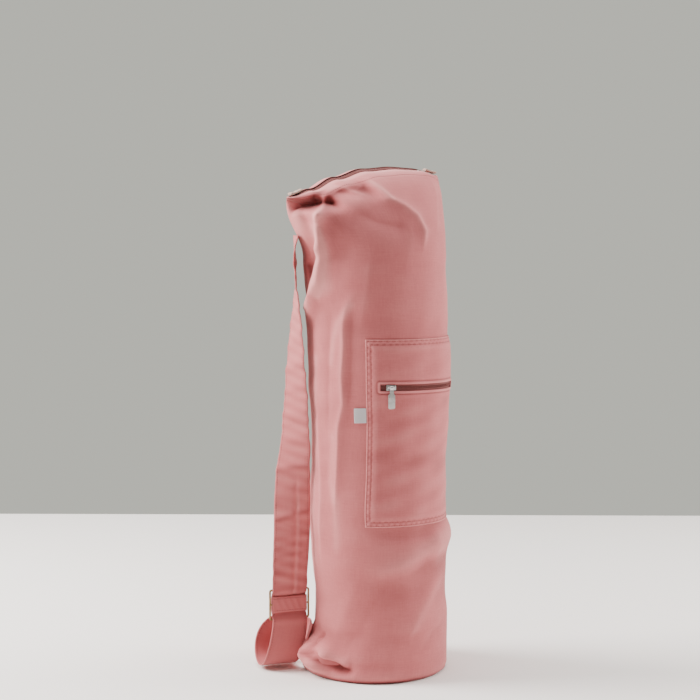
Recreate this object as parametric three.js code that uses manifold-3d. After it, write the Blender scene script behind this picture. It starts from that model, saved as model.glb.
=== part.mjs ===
// A canvas yoga mat bag that stands on its round base.
// Millimetres, +Z up, the origin is the middle of the base on the floor.
// Shapes are worked out as the bag stands seen from its front left corner, with
// +X to the right and +Y away. One group turns them so that the pocket faces -Y.
import * as THREE from 'three';
import { mergeVertices } from 'three/addons/utils/BufferGeometryUtils.js';
import Module from 'manifold-3d';

const wasm = await Module();
wasm.setup();

// Body
const bagHeight = 670;
const bodyDiameter = 182;
const baseDiameter = 195;
const clothWall = 2;
const baseThickness = 3;
const crownHeight = 124;        // the stretch over which the tube goes flat
const seamGap = 0.4;            // clearance between pieces that are sewn together
const cornerTurn = -45;         // degrees from the corner view to the bag's own front

// Top zip
const zipChord = 236;           // straight distance between the two zip corners
const zipHeading = 33.5;        // degrees of the zip's line from +X
const zipMouth = 14;            // outer width of the two lips at the zip
const lipRise = 3;              // the far lip stands this much higher
const zipTapeThickness = 1;
const zipTeethWidth = 4;
const zipTeethThickness = 1.6;
const tapeEndLength = 17;
const tapeEndWidth = 9;
const tapeEndThickness = 2.4;
const topSliderLength = 11;
const topSliderWidth = 6;
const topSliderThickness = 3;

// Pocket
const pocketWidth = 173;
const pocketHeight = 242;
const pocketBottom = 203;
const pocketCloth = 1.2;
const pocketEase = 1.9;         // fullness of the pocket over the body
const slotLength = 137;
const slotHeight = 8.4;
const slotBelowTop = 61;        // pocket top to the slot's middle
const slotDroop = 2.5;          // the slot hangs lower at its right end
const tapeOverlap = 4.5;        // zip tape hidden behind the slot's edges
const pocketTapeThickness = 0.8;
const pocketTeethWidth = 3.4;
const pocketTeethThickness = 0.7;

// Pocket slider and puller
const sliderLength = 12.5;
const sliderWidth = 7.6;
const sliderPlate = 1.8;
const sliderFromSlotEnd = 13;
const bridgeRise = 2.8;         // bar axis above the slider's plate
const bridgeBar = 1.4;
const pullerClearance = 0.35;   // between the puller's eye and the bar's corners
const pullerLength = 27;
const pullerWidth = 8.8;
const pullerNeck = 5.2;
const pullerThickness = 1.2;

// Label
const labelWidth = 15.5;
const labelHeight = 19;
const labelThickness = 1;
const labelUp = 338;

// Strap and buckle
const strapWidth = 48;
const strapThickness = 2;
const buckleWidth = 56;
const buckleHeight = 41.5;
const buckleBar = 2.5;
const buckleUp = 88;
const buckleOut = 22;           // beyond the body's radius
const buckleNear = 22;          // nearer than the bag's middle
const buckleHeading = 21;       // degrees of its width from +X
const bandHeight = 22;
const bandDepth = 5.2;
const bandCloth = 1;
const barClearance = 0.6;       // between the buckle's bars and the strap

// Mesh steps
const aroundSteps = 52;
const rowBands = [
  { toUp: 0.012, rows: 2 },
  { toUp: 0.1, rows: 5 },
  { toUp: 0.815, rows: 15 },
  { toUp: 1, rows: 14 },
];

const bodyRadius = bodyDiameter / 2;
const baseRadius = baseDiameter / 2;
const rad = Math.PI / 180;

// Sections of the tube. up: share of the bag's height. shift: sideways place of the
// middle as a share of the body's radius. base: 1 follows the base, 0 the body.
// girth: share of that radius.
const bodySections = [
  { up: 0, shift: 0, base: 1, girth: 0.955 },
  { up: 0.005, shift: 0, base: 1, girth: 0.99 },
  { up: 0.012, shift: 0, base: 1, girth: 1 },
  { up: 0.037, shift: 0.04, base: 0.8, girth: 0.98 },
  { up: 0.097, shift: 0.1, base: 0.2, girth: 0.965 },
  { up: 0.158, shift: 0.088, base: 0, girth: 0.96 },
  { up: 0.239, shift: 0.07, base: 0, girth: 0.995 },
  { up: 0.33, shift: 0.03, base: 0, girth: 0.985 },
  { up: 0.42, shift: 0.05, base: 0, girth: 0.965 },
  { up: 0.5, shift: 0.06, base: 0, girth: 0.985 },
  { up: 0.58, shift: 0.052, base: 0, girth: 1.02 },
  { up: 0.72, shift: 0.037, base: 0, girth: 1.028 },
  { up: 0.815, shift: 0, base: 0, girth: 1.04 },
  { up: 1, shift: 0, base: 0, girth: 1.04 },
];

// The closed rim. share: along the zip from its right corner to its left.
// up: height as a share of the bag's. bow: sideways bow as a share of the zip's chord.
const rimLine = [
  { share: 0, up: 0.985, bow: 0 },
  { share: 0.15, up: 0.995, bow: 0.012 },
  { share: 0.3, up: 0.996, bow: 0.01 },
  { share: 0.5, up: 0.99, bow: 0 },
  { share: 0.7, up: 0.972, bow: -0.012 },
  { share: 0.86, up: 0.949, bow: -0.01 },
  { share: 1, up: 0.935, bow: 0 },
];

// Folds and dents. turn: degrees round the tube from the right zip corner, with the
// front from 180 to 360. up: share of the height. reach: half width in millimetres.
// depth: how far the cloth stands out, or in where it is negative.
const folds = [
  { turn: 176, up: 0.92, toTurn: 226, toUp: 0.924, reach: 8, depth: -19 },
  { turn: 226, up: 0.946, toTurn: 254, toUp: 0.945, reach: 8, depth: -10 },
  { turn: 245, up: 0.97, toTurn: 272, toUp: 0.925, reach: 9, depth: 5 },
  { turn: 272, up: 0.925, toTurn: 300, toUp: 0.865, reach: 11, depth: 5 },
  { turn: 212, up: 0.9, toTurn: 193, toUp: 0.835, reach: 9, depth: 6 },
  { turn: 193, up: 0.835, toTurn: 172, toUp: 0.72, reach: 10, depth: 5 },
  { turn: 194, up: 0.89, toTurn: 176, toUp: 0.8, reach: 12, depth: -6 },
  { turn: 219, up: 0.75, toTurn: 206, toUp: 0.66, reach: 12, depth: 4 },
  { turn: 206, up: 0.66, toTurn: 199, toUp: 0.34, reach: 13, depth: 4 },
  { turn: 220, up: 0.6, toTurn: 216, toUp: 0.3, reach: 12, depth: -3 },
  { turn: 292, up: 0.262, toTurn: 336, toUp: 0.28, reach: 17, depth: 8 },
  { turn: 283, up: 0.238, toTurn: 245, toUp: 0.214, reach: 10, depth: -4 },
  { turn: 298, up: 0.177, toTurn: 264, toUp: 0.095, reach: 13, depth: 4 },
  { turn: 176, up: 0.042, toTurn: 187, toUp: 0.042, reach: 16, depth: 18 },
  { turn: 191, up: 0.046, toTurn: 219, toUp: 0.024, reach: 6, depth: -7 },
  { turn: 58, up: 0.8, toTurn: 76, toUp: 0.42, reach: 15, depth: -5 },
  { turn: 112, up: 0.7, toTurn: 128, toUp: 0.25, reach: 14, depth: 4 },
  { turn: 40, up: 0.93, toTurn: 96, toUp: 0.9, reach: 12, depth: -9 },
  { turn: 95, up: 0.2, toTurn: 40, toUp: 0.13, reach: 13, depth: -4 },
];

// The hanging strap, from the buckle up. share: of the stretch. out: sideways as a
// share of the body's radius. heading: degrees of the strap's width. cup: hollow
// across the strap as a share of its width.
const strapTopTurn = 157;
const strapTopUp = 0.885;
const strapHang = [
  { share: 0.96, out: -0.02, heading: -88, cup: 0 },
  { share: 0.92, out: -0.01, heading: -92, cup: 0 },
  { share: 0.87, out: 0.01, heading: -93, cup: 0 },
  { share: 0.82, out: 0.03, heading: -87, cup: 0 },
  { share: 0.76, out: 0.04, heading: -80, cup: 0.01 },
  { share: 0.7, out: 0.045, heading: -72, cup: 0.02 },
  { share: 0.64, out: 0.05, heading: -66, cup: 0.02 },
  { share: 0.58, out: 0.05, heading: -58, cup: 0.02 },
  { share: 0.52, out: 0.05, heading: -50, cup: 0.03 },
  { share: 0.46, out: 0.05, heading: -44, cup: 0.02 },
  { share: 0.4, out: 0.045, heading: -34, cup: 0.03 },
  { share: 0.34, out: 0.02, heading: -20, cup: 0.04 },
  { share: 0.28, out: 0.01, heading: -10, cup: 0.03 },
  { share: 0.22, out: 0.01, heading: -2, cup: 0.04 },
  { share: 0.16, out: 0.02, heading: 5, cup: 0.05 },
  { share: 0.1, out: 0.01, heading: 12, cup: 0.05 },
  { share: 0.05, out: 0, heading: 18, cup: 0.03 },
];

// The slack loop under the buckle. front: towards the buckle's front. side: along the
// buckle's width. up: above the floor. All three are shares of the strap's width.
// tilt: degrees by which the strap's width turns down as it bends to the side.
const strapLoop = [
  { front: 0.06, side: -0.05, up: 0.98, tilt: 0 },
  { front: 0.1, side: -0.12, up: 0.72, tilt: 0 },
  { front: 0.1, side: -0.2, up: 0.46, tilt: 0 },
  { front: 0, side: -0.27, up: 0.22, tilt: 0 },
  { front: -0.2, side: -0.3, up: 0.09, tilt: 0 },
  { front: -0.5, side: -0.3, up: 0.09, tilt: 0 },
  { front: -0.8, side: -0.28, up: 0.22, tilt: 0 },
  { front: -1, side: -0.25, up: 0.46, tilt: 4 },
  { front: -1.05, side: -0.2, up: 0.7, tilt: 16 },
  { front: -1.04, side: -0.08, up: 0.88, tilt: 38 },
  { front: -0.98, side: 0.14, up: 0.93, tilt: 62 },
  { front: -0.88, side: 0.36, up: 0.92, tilt: 82 },
];
const strapTail = [
  { turn: 150, up: 0.062, lift: 2.6 },
  { turn: 155, up: 0.061, lift: 2 },
  { turn: 160, up: 0.06, lift: 2 },
  { turn: 164, up: 0.06, lift: 2.3 },
];
const foldFadeFoot = 0.012;     // share of the height over which folds fade at the base

// Interpolates a table's column at a value of its key column
function readTable(table, key, value, column) {
  const last = table.length - 1;
  if (value <= table[0][key]) return table[0][column];
  if (value >= table[last][key]) return table[last][column];
  const index = table.findIndex((row) => row[key] >= value);
  const low = table[index - 1];
  const high = table[index];
  const part = (value - low[key]) / (high[key] - low[key]);
  const eased = part * part * (3 - 2 * part);
  return low[column] + (high[column] - low[column]) * eased;
}

function mix(from, to, part) {
  return from + (to - from) * part;
}

function smooth(part) {
  const held = Math.min(1, Math.max(0, part));
  return held * held * (3 - 2 * held);
}

// How far all folds push the cloth out at one place on the tube
function foldDepth(turnDegrees, height) {
  let depth = 0;
  for (const fold of folds) {
    const arc = bodyRadius * rad;
    const ax = fold.turn * arc;
    const bx = fold.toTurn * arc;
    const az = fold.up * bagHeight;
    const bz = fold.toUp * bagHeight;
    const px = turnDegrees * arc;
    const along = ((px - ax) * (bx - ax) + (height - az) * (bz - az))
      / ((bx - ax) ** 2 + (bz - az) ** 2);
    const held = Math.min(1, Math.max(0, along));
    const dx = px - mix(ax, bx, held);
    const dz = height - mix(az, bz, held);
    depth += fold.depth * Math.exp(-(dx * dx + dz * dz) / (fold.reach * fold.reach));
  }
  return depth;
}

// A point of the tube's cloth. turnDegrees runs round from the right zip corner,
// up is the share of the height, and lift is the distance outwards from the cloth.
function clothPoint(turnDegrees, up, lift) {
  const angle = turnDegrees * rad;
  const crownStart = 1 - crownHeight / bagHeight;
  const crown = Math.max(0, (up - crownStart) / (1 - crownStart));
  const share = (1 - Math.cos(angle)) / 2;
  const base = readTable(bodySections, 'up', up, 'base');
  const girth = readTable(bodySections, 'up', up, 'girth');
  const radius = mix(bodyRadius, baseRadius, base) * girth;
  const along = mix(radius, zipChord / 2, smooth(crown)) + lift;
  const flat = Math.sqrt(Math.max(0, 1 - crown ** 2.2));
  const across = mix(zipMouth / 2, radius, flat) + lift;
  const rim = readTable(rimLine, 'share', share, 'up') * bagHeight;
  const lip = Math.sin(angle) * lipRise / 2;
  const start = crownStart * bagHeight;
  const height = crown > 0 ? mix(start, rim + lip, crown) : up * bagHeight;
  const heading = zipHeading * rad;
  const zipWay = new THREE.Vector2(Math.cos(heading), Math.sin(heading));
  const backWay = new THREE.Vector2(-Math.sin(heading), Math.cos(heading));
  const out = new THREE.Vector2(Math.cos(angle) * across, Math.sin(angle) * along).normalize();
  const fade = smooth(up / foldFadeFoot - 0.4) * (1 - smooth((crown - 0.86) / 0.14));
  const push = foldDepth(turnDegrees, height) * fade;
  const bow = readTable(rimLine, 'share', share, 'bow') * zipChord * crown;
  const run = Math.cos(angle) * along + out.x * push;
  const deep = Math.sin(angle) * across + out.y * push + bow;
  const shift = readTable(bodySections, 'up', up, 'shift') * bodyRadius;
  const leanX = shift - 0.15 * bodyRadius * smooth(crown);
  const leanY = 0.11 * bodyRadius * smooth(crown);
  return new THREE.Vector3(
    leanX + run * zipWay.x + deep * backWay.x,
    leanY + run * zipWay.y + deep * backWay.y,
    height,
  );
}

// Builds a closed mesh from rings of points that join end to end
function geometryOf(points, faces) {
  const geometry = new THREE.BufferGeometry();
  const flat = points.flatMap((point) => [point.x, point.y, point.z]);
  geometry.setAttribute('position', new THREE.Float32BufferAttribute(flat, 3));
  geometry.setIndex(faces.flat());
  geometry.computeVertexNormals();
  return geometry;
}

// A tube of rings, closed along its length by its first and last ring meeting
function closedTube(rings) {
  const count = rings[0].length;
  const faces = [];
  for (let row = 0; row < rings.length; row += 1) {
    const next = (row + 1) % rings.length;
    for (let step = 0; step < count; step += 1) {
      const side = (step + 1) % count;
      const a = row * count + step;
      const b = row * count + side;
      const c = next * count + side;
      const d = next * count + step;
      faces.push([a, b, c], [a, c, d]);
    }
  }
  return geometryOf(rings.flat(), faces);
}

// A run of equal rings with a flat cap at each end, fanned from its first corner
function cappedTube(rings) {
  const count = rings[0].length;
  const faces = [];
  for (let row = 0; row + 1 < rings.length; row += 1) {
    for (let step = 0; step < count; step += 1) {
      const side = (step + 1) % count;
      const a = row * count + step;
      const b = row * count + side;
      const c = a + count;
      const d = b + count;
      faces.push([a, b, d], [a, d, c]);
    }
  }
  const last = (rings.length - 1) * count;
  for (let step = 1; step + 1 < count; step += 1) {
    faces.push([0, step + 1, step], [last, last + step, last + step + 1]);
  }
  return geometryOf(rings.flat(), faces);
}

// A sheet with thickness over a grid of steps. outer and inner give its two faces at
// (across, up) steps, and keep says which cells hold cloth, so a slot is left open.
function sheetGeometry(acrossSteps, upSteps, outer, inner, keep) {
  const wide = acrossSteps + 1;
  const layer = wide * (upSteps + 1);
  const points = [];
  for (const face of [outer, inner]) {
    for (let row = 0; row <= upSteps; row += 1) {
      for (let step = 0; step <= acrossSteps; step += 1) points.push(face(step, row));
    }
  }
  const held = (step, row) => step >= 0 && row >= 0 && step < acrossSteps && row < upSteps
    && keep(step, row);
  const faces = [];
  const wall = (a, b) => faces.push([a, a + layer, b + layer], [a, b + layer, b]);
  for (let row = 0; row < upSteps; row += 1) {
    for (let step = 0; step < acrossSteps; step += 1) {
      if (!held(step, row)) continue;
      const a = row * wide + step;
      const b = a + 1;
      const c = b + wide;
      const d = a + wide;
      faces.push([a, b, c], [a, c, d], [a + layer, c + layer, b + layer], [a + layer, d + layer, c + layer]);
      if (!held(step, row - 1)) wall(a, b);
      if (!held(step + 1, row)) wall(b, c);
      if (!held(step, row + 1)) wall(c, d);
      if (!held(step - 1, row)) wall(d, a);
    }
  }
  const used = [...new Set(faces.flat())].sort((one, two) => one - two);
  const place = new Map(used.map((index, order) => [index, order]));
  return geometryOf(
    used.map((index) => points[index]),
    faces.map((face) => face.map((index) => place.get(index))),
  );
}

function finish(colour, roughness, metalness) {
  return new THREE.MeshStandardMaterial({ color: colour, roughness, metalness });
}

const canvas = finish(0xbf7f7d, 0.9, 0);
const tapePink = finish(0xa86a66, 0.8, 0);
const creamTape = finish(0xe9dcd3, 0.8, 0);
const whiteTape = finish(0xe8e6ea, 0.7, 0);
const steel = finish(0xc4c4c6, 0.3, 1);
const brass = finish(0xb08d57, 0.35, 1);

const turned = new THREE.Group();
turned.rotation.z = cornerTurn * rad;

function add(name, geometry, material, parent = turned) {
  const mesh = new THREE.Mesh(geometry, material);
  mesh.name = name;
  parent.add(mesh);
  return mesh;
}

// Shares of the height at which the tube's rings lie
function ringHeights() {
  const heights = [0];
  let from = 0;
  for (const band of rowBands) {
    for (let row = 1; row <= band.rows; row += 1) {
      heights.push(mix(from, band.toUp, row / band.rows));
    }
    from = band.toUp;
  }
  return heights;
}

function clothRing(up, lift) {
  return Array.from({ length: aroundSteps }, (_, step) => (
    clothPoint(step * 360 / aroundSteps, up, lift)
  ));
}

const heights = ringHeights();
const outside = heights.map((up) => clothRing(up, 0));
const inside = heights.map((up) => clothRing(up, -clothWall));

// A point between the corners of a ring, on its straight sides
function onRing(ring, turnDegrees) {
  const place = turnDegrees / 360 * aroundSteps;
  const step = Math.floor(place);
  const from = ring[(step + aroundSteps) % aroundSteps];
  const to = ring[(step + 1 + aroundSteps) % aroundSteps];
  return from.clone().lerp(to, place - step);
}

// A point on the flat faces of the shell, lifted outwards. What is sewn to the cloth
// takes its places from here.
function onCloth(turnDegrees, up, lift) {
  const row = Math.max(0, heights.findIndex((height) => height >= up) - 1);
  const rise = (up - heights[row]) / (heights[row + 1] - heights[row]);
  const place = turnDegrees / 360 * aroundSteps;
  const step = Math.floor(place);
  const run = place - step;
  const corner = (level, index) => outside[level][(index + aroundSteps) % aroundSteps];
  const low = corner(row, step);
  const high = corner(row + 1, step + 1);
  const point = low.clone();
  if (run >= rise) {
    const side = corner(row, step + 1);
    point.addScaledVector(side.clone().sub(low), run).addScaledVector(high.clone().sub(side), rise);
  } else {
    const above = corner(row + 1, step);
    point.addScaledVector(above.clone().sub(low), rise).addScaledVector(high.clone().sub(above), run);
  }
  const out = clothPoint(turnDegrees, up, lift).sub(clothPoint(turnDegrees, up, 0));
  return point.add(out);
}

function bodyShell() {
  return closedTube([...outside, ...[...inside].reverse()]);
}

function basePanel() {
  const edge = clothRing(0, -clothWall - seamGap * 1.5);
  const ring = (height) => edge.map((point) => new THREE.Vector3(point.x, point.y, height));
  return cappedTube([ring(0), ring(baseThickness)]);
}

// Top zip: a strip between the lips. Its half width follows the mouth, and it starts
// and ends a little inside the corners.
function mouthPoint(share, side, drop, halfWidth) {
  const turn = Math.acos(1 - 2 * share) / rad;
  const front = onRing(inside[inside.length - 1], 360 - turn);
  const back = onRing(inside[inside.length - 1], turn);
  const middle = front.clone().add(back).multiplyScalar(0.5);
  const way = back.clone().sub(front);
  const room = way.length() / 2 - seamGap;
  const half = Math.min(room, halfWidth);
  const point = middle.add(way.normalize().multiplyScalar(side * half));
  point.z -= drop;
  return point;
}

function mouthStrip(fromShare, toShare, halfWidth, top, thickness, steps) {
  const rings = [];
  for (let step = 0; step <= steps; step += 1) {
    const share = mix(fromShare, toShare, step / steps);
    rings.push([
      mouthPoint(share, 1, top + thickness, halfWidth),
      mouthPoint(share, -1, top + thickness, halfWidth),
      mouthPoint(share, -1, top, halfWidth),
      mouthPoint(share, 1, top, halfWidth),
    ]);
  }
  return cappedTube(rings);
}

function buildTopZip() {
  const tapeTop = 1.2;
  const teethTop = tapeTop - 2 * seamGap - zipTeethThickness;
  add('top_zip_tape', mouthStrip(0.02, 0.98, zipMouth, tapeTop, zipTapeThickness, 30), tapePink);
  const sliderShare = 0.1;
  const clear = (topSliderLength / 2 + 1) / zipChord;
  const teeth = mouthStrip(
    sliderShare + clear, 0.94, zipTeethWidth / 2, teethTop, zipTeethThickness, 24,
  );
  add('top_zip_teeth', teeth, tapePink);
  const slider = mouthStrip(
    sliderShare - clear + 1 / zipChord, sliderShare + clear - 1.6 / zipChord,
    topSliderWidth / 2, tapeTop - seamGap - topSliderThickness, topSliderThickness, 2,
  );
  add('top_zip_slider', slider, steel);
}

// A cream end of the zip's tape lies over each corner of the rim
function tapeEnd(share, inward) {
  const from = share;
  const to = share + inward * tapeEndLength / zipChord;
  const rise = seamGap + lipRise / 2;
  const rings = [];
  const steps = 4;
  for (let step = 0; step <= steps; step += 1) {
    const along = mix(from, to, step / steps);
    const middle = mouthPoint(Math.min(0.999, Math.max(0.001, along)), 0, -rise, 0);
    const heading = (zipHeading + 90) * rad;
    const half = tapeEndWidth / 2;
    const wide = new THREE.Vector3(Math.cos(heading) * half, Math.sin(heading) * half, 0);
    const tall = new THREE.Vector3(0, 0, tapeEndThickness);
    const ring = [
      middle.clone().add(wide),
      middle.clone().sub(wide),
      middle.clone().sub(wide).add(tall),
      middle.clone().add(wide).add(tall),
    ];
    rings.push(inward > 0 ? ring : ring.reverse());
  }
  return cappedTube(rings);
}

function buildTapeEnds() {
  add('top_zip_end_right', tapeEnd(0.003, 1), creamTape);
  add('top_zip_end_left', tapeEnd(0.997, -1), creamTape);
}

// Pocket: a sheet over the tube that stands a little proud between its sewn edges
const pocketMiddleTurn = -cornerTurn + 270 - zipHeading;
const pocketTurnPerMm = 1 / (bodyRadius * rad);
const slotRight = pocketMiddleTurn + slotLength / 2 * pocketTurnPerMm;
const slotLeft = pocketMiddleTurn - slotLength / 2 * pocketTurnPerMm;
const slotMiddleUp = pocketBottom + pocketHeight - slotBelowTop;

// Height of the slot's middle line at a turn round the tube
function slotLine(turnDegrees) {
  const share = (turnDegrees - slotLeft) / (slotRight - slotLeft);
  return slotMiddleUp - slotDroop * share;
}

function pocketLift(turnDegrees, height) {
  const edge = Math.min(
    (pocketWidth / 2 - Math.abs(turnDegrees - pocketMiddleTurn) / pocketTurnPerMm),
    height - pocketBottom,
    pocketBottom + pocketHeight - height,
  );
  return seamGap + 0.2 + pocketEase * smooth(edge / 14);
}

const pocketColumns = [
  { at: -pocketWidth / 2, steps: 2 },
  { at: -slotLength / 2, steps: 18 },
  { at: slotLength / 2, steps: 2 },
  { at: pocketWidth / 2, steps: 0 },
];
const pocketRows = [
  { at: pocketBottom, steps: 1 },
  { at: pocketBottom + 14, steps: 8 },
  { at: slotMiddleUp - slotHeight / 2, steps: 1 },
  { at: slotMiddleUp + slotHeight / 2, steps: 3 },
  { at: pocketBottom + pocketHeight, steps: 0 },
];

// Spreads a table of stretches into single steps, with the mark of each stretch
function spread(stretches) {
  const steps = [];
  stretches.slice(0, -1).forEach((stretch, index) => {
    for (let step = 0; step < stretch.steps; step += 1) {
      const at = mix(stretch.at, stretches[index + 1].at, step / stretch.steps);
      steps.push({ at, stretch: index });
    }
  });
  steps.push({ at: stretches[stretches.length - 1].at, stretch: stretches.length - 1 });
  return steps;
}

function pocketPanel() {
  const columns = spread(pocketColumns);
  const rows = spread(pocketRows);
  const face = (extra) => (step, row) => {
    const turn = pocketMiddleTurn + columns[step].at * pocketTurnPerMm;
    const nearSlot = 1 - smooth(Math.abs(rows[row].at - slotMiddleUp) / 60);
    const height = rows[row].at + (slotLine(turn) - slotMiddleUp) * nearSlot;
    return onCloth(turn, height / bagHeight, pocketLift(turn, height) + extra);
  };
  const keep = (step, row) => !(columns[step].stretch === 1 && rows[row].stretch === 2);
  return sheetGeometry(columns.length - 1, rows.length - 1, face(pocketCloth), face(0), keep);
}

// A strip that follows the pocket's slot
function slotStrip(fromTurn, toTurn, halfHeight, low, high, steps) {
  const face = (lift) => (step, row) => {
    const turn = mix(fromTurn, toTurn, step / steps);
    const height = slotLine(turn) + (row * 2 - 1) * halfHeight;
    return onCloth(turn, height / bagHeight, lift);
  };
  return sheetGeometry(steps, 1, face(high), face(low), () => true);
}

function buildPocketZip() {
  const full = seamGap + 0.2 + pocketEase;
  const tapeHigh = full - 0.5;
  const tapeLow = tapeHigh - pocketTapeThickness;
  const past = 3 * pocketTurnPerMm;
  const tape = slotStrip(
    slotLeft - past, slotRight + past, slotHeight / 2 + tapeOverlap, tapeLow, tapeHigh, 22,
  );
  add('pocket_zip_tape', tape, tapePink);
  const teethLow = tapeHigh + 0.4;
  const sliderTurn = slotLeft + sliderFromSlotEnd * pocketTurnPerMm;
  const teethStart = sliderTurn + (sliderLength / 2 + 0.5) * pocketTurnPerMm;
  const teeth = slotStrip(
    teethStart, slotRight - 1 * pocketTurnPerMm, pocketTeethWidth / 2,
    teethLow, teethLow + pocketTeethThickness, 18,
  );
  add('pocket_zip_teeth', teeth, tapePink);
  buildSlider(sliderTurn, teethLow);
}

// Joins closed pieces into one solid
function joined(geometries) {
  const solids = geometries.map((geometry) => {
    const bare = (geometry.index ? geometry.toNonIndexed() : geometry).clone();
    bare.deleteAttribute('normal');
    bare.deleteAttribute('uv');
    const merged = mergeVertices(bare, 1e-4);
    return new wasm.Manifold(new wasm.Mesh({
      numProp: 3,
      vertProperties: new Float32Array(merged.attributes.position.array),
      triVerts: new Uint32Array(merged.index.array),
    }));
  });
  const whole = solids.slice(1).reduce((sum, solid) => sum.add(solid), solids[0]);
  const mesh = whole.getMesh();
  const geometry = new THREE.BufferGeometry();
  geometry.setAttribute('position', new THREE.BufferAttribute(mesh.vertProperties, 3));
  geometry.setIndex(new THREE.BufferAttribute(mesh.triVerts, 1));
  geometry.computeVertexNormals();
  return geometry;
}

// An outline in the plane of the first two columns, with an optional window
function plateShape(corners, window) {
  const shape = new THREE.Shape(corners.map(([x, y]) => new THREE.Vector2(x, y)));
  if (window) shape.holes.push(new THREE.Path(window.map(([x, y]) => new THREE.Vector2(x, y))));
  return shape;
}

function extruded(shape, depth) {
  const geometry = new THREE.ExtrudeGeometry(
    shape, { depth, bevelEnabled: false, curveSegments: 8 },
  );
  geometry.translate(0, 0, -depth / 2);
  return geometry;
}

// Slider and puller stand on a small frame of their own on the pocket: x runs along
// the zip, z up and -y outwards from the bag.
function buildSlider(turn, seatLift) {
  const step = 4;
  const seat = onCloth(turn, slotLine(turn) / bagHeight, seatLift);
  const ahead = clothPoint(turn + step, slotLine(turn + step) / bagHeight, seatLift);
  const behind = clothPoint(turn - step, slotLine(turn - step) / bagHeight, seatLift);
  const frame = new THREE.Group();
  frame.position.copy(seat);
  frame.rotation.z = Math.atan2(ahead.y - behind.y, ahead.x - behind.x);
  turned.add(frame);

  const half = sliderLength / 2;
  const plate = new THREE.BoxGeometry(sliderLength, sliderPlate, sliderWidth);
  plate.translate(0, -sliderPlate / 2 - 0.1, 0);
  const top = sliderPlate + 0.1;
  const axis = top + bridgeRise;
  const inset = 1;
  const post = 1.4;
  const foot = top - sliderPlate / 2;
  const bridge = extruded(plateShape(
    [
      [-half + inset, -foot], [half - inset, -foot],
      [half - inset, -axis], [half - inset - 1, -axis - bridgeBar / 2],
      [-half + inset + 1, -axis - bridgeBar / 2], [-half + inset, -axis],
    ],
    [
      [-half + inset + post, -top], [-half + inset + post, bridgeBar / 2 - axis],
      [half - inset - post, bridgeBar / 2 - axis], [half - inset - post, -top],
    ],
  ), bridgeBar);
  add('pocket_zip_slider', joined([plate, bridge]), steel, frame);

  const eyeInner = bridgeBar * Math.SQRT1_2 + pullerClearance;
  const eyeOuter = eyeInner + pullerThickness;
  const eye = new THREE.Shape();
  eye.absarc(0, 0, eyeOuter, 0, Math.PI * 2);
  const hole = new THREE.Path();
  hole.absarc(0, 0, eyeInner, 0, Math.PI * 2);
  eye.holes.push(hole);
  const ring = extruded(eye, pullerNeck);
  ring.rotateY(Math.PI / 2);
  const low = -pullerLength;
  const shoulder = low * 0.36;
  const wide = pullerWidth / 2;
  const neck = pullerNeck / 2;
  const tab = extruded(plateShape([
    [-neck, -eyeOuter + pullerThickness / 2], [-neck, shoulder + 2.5], [-wide, shoulder],
    [-wide, low + 2.5], [-wide + 2.5, low], [wide - 2.5, low], [wide, low + 2.5],
    [wide, shoulder], [neck, shoulder + 2.5], [neck, -eyeOuter + pullerThickness / 2],
  ].reverse()), pullerThickness);
  tab.rotateX(Math.PI / 2);
  const puller = joined([ring, tab]);
  puller.translate(0, -axis, 0);
  add('pocket_zip_puller', puller, steel, frame);
}

// The bare white tab sewn under the pocket's left edge
function labelTab() {
  const edge = pocketMiddleTurn - (pocketWidth / 2 + seamGap) * pocketTurnPerMm;
  const steps = 4;
  const face = (lift) => (step, row) => {
    const turn = edge - labelWidth * (1 - step / steps) * pocketTurnPerMm;
    return onCloth(turn, (labelUp + row / 2 * labelHeight) / bagHeight, lift);
  };
  return sheetGeometry(
    steps, 2, face(seamGap + labelThickness), face(seamGap), () => true,
  );
}

// A flat strap. Each stop has its middle, and the way of its width.
function ribbon(stops, width, thickness) {
  const rings = stops.map((stop, index) => {
    const before = stops[Math.max(0, index - 1)].middle;
    const after = stops[Math.min(stops.length - 1, index + 1)].middle;
    const way = after.clone().sub(before).normalize();
    const across = stop.across.clone().normalize();
    const out = new THREE.Vector3().crossVectors(way, across).normalize();
    const at = (side, face) => stop.middle.clone()
      .addScaledVector(across, side * width / 2)
      .addScaledVector(out, face * thickness / 2 + (1 - side * side) * stop.cup);
    return [at(-1, 1), at(-1, -1), at(0, -1), at(1, -1), at(1, 1), at(0, 1)];
  });
  return cappedTube(rings);
}

function headingWay(degrees) {
  return new THREE.Vector3(Math.cos(degrees * rad), Math.sin(degrees * rad), 0);
}

const buckleMiddle = new THREE.Vector3(
  -bodyRadius - buckleOut, -buckleNear, buckleUp,
);
const buckleAcross = headingWay(buckleHeading);
const buckleFront = headingWay(buckleHeading - 90);

// A place on the buckle: front is the distance towards its front face
function buckleSpot(front, height) {
  const spot = buckleMiddle.clone().addScaledVector(buckleFront, front);
  spot.z += height;
  return spot;
}

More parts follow.
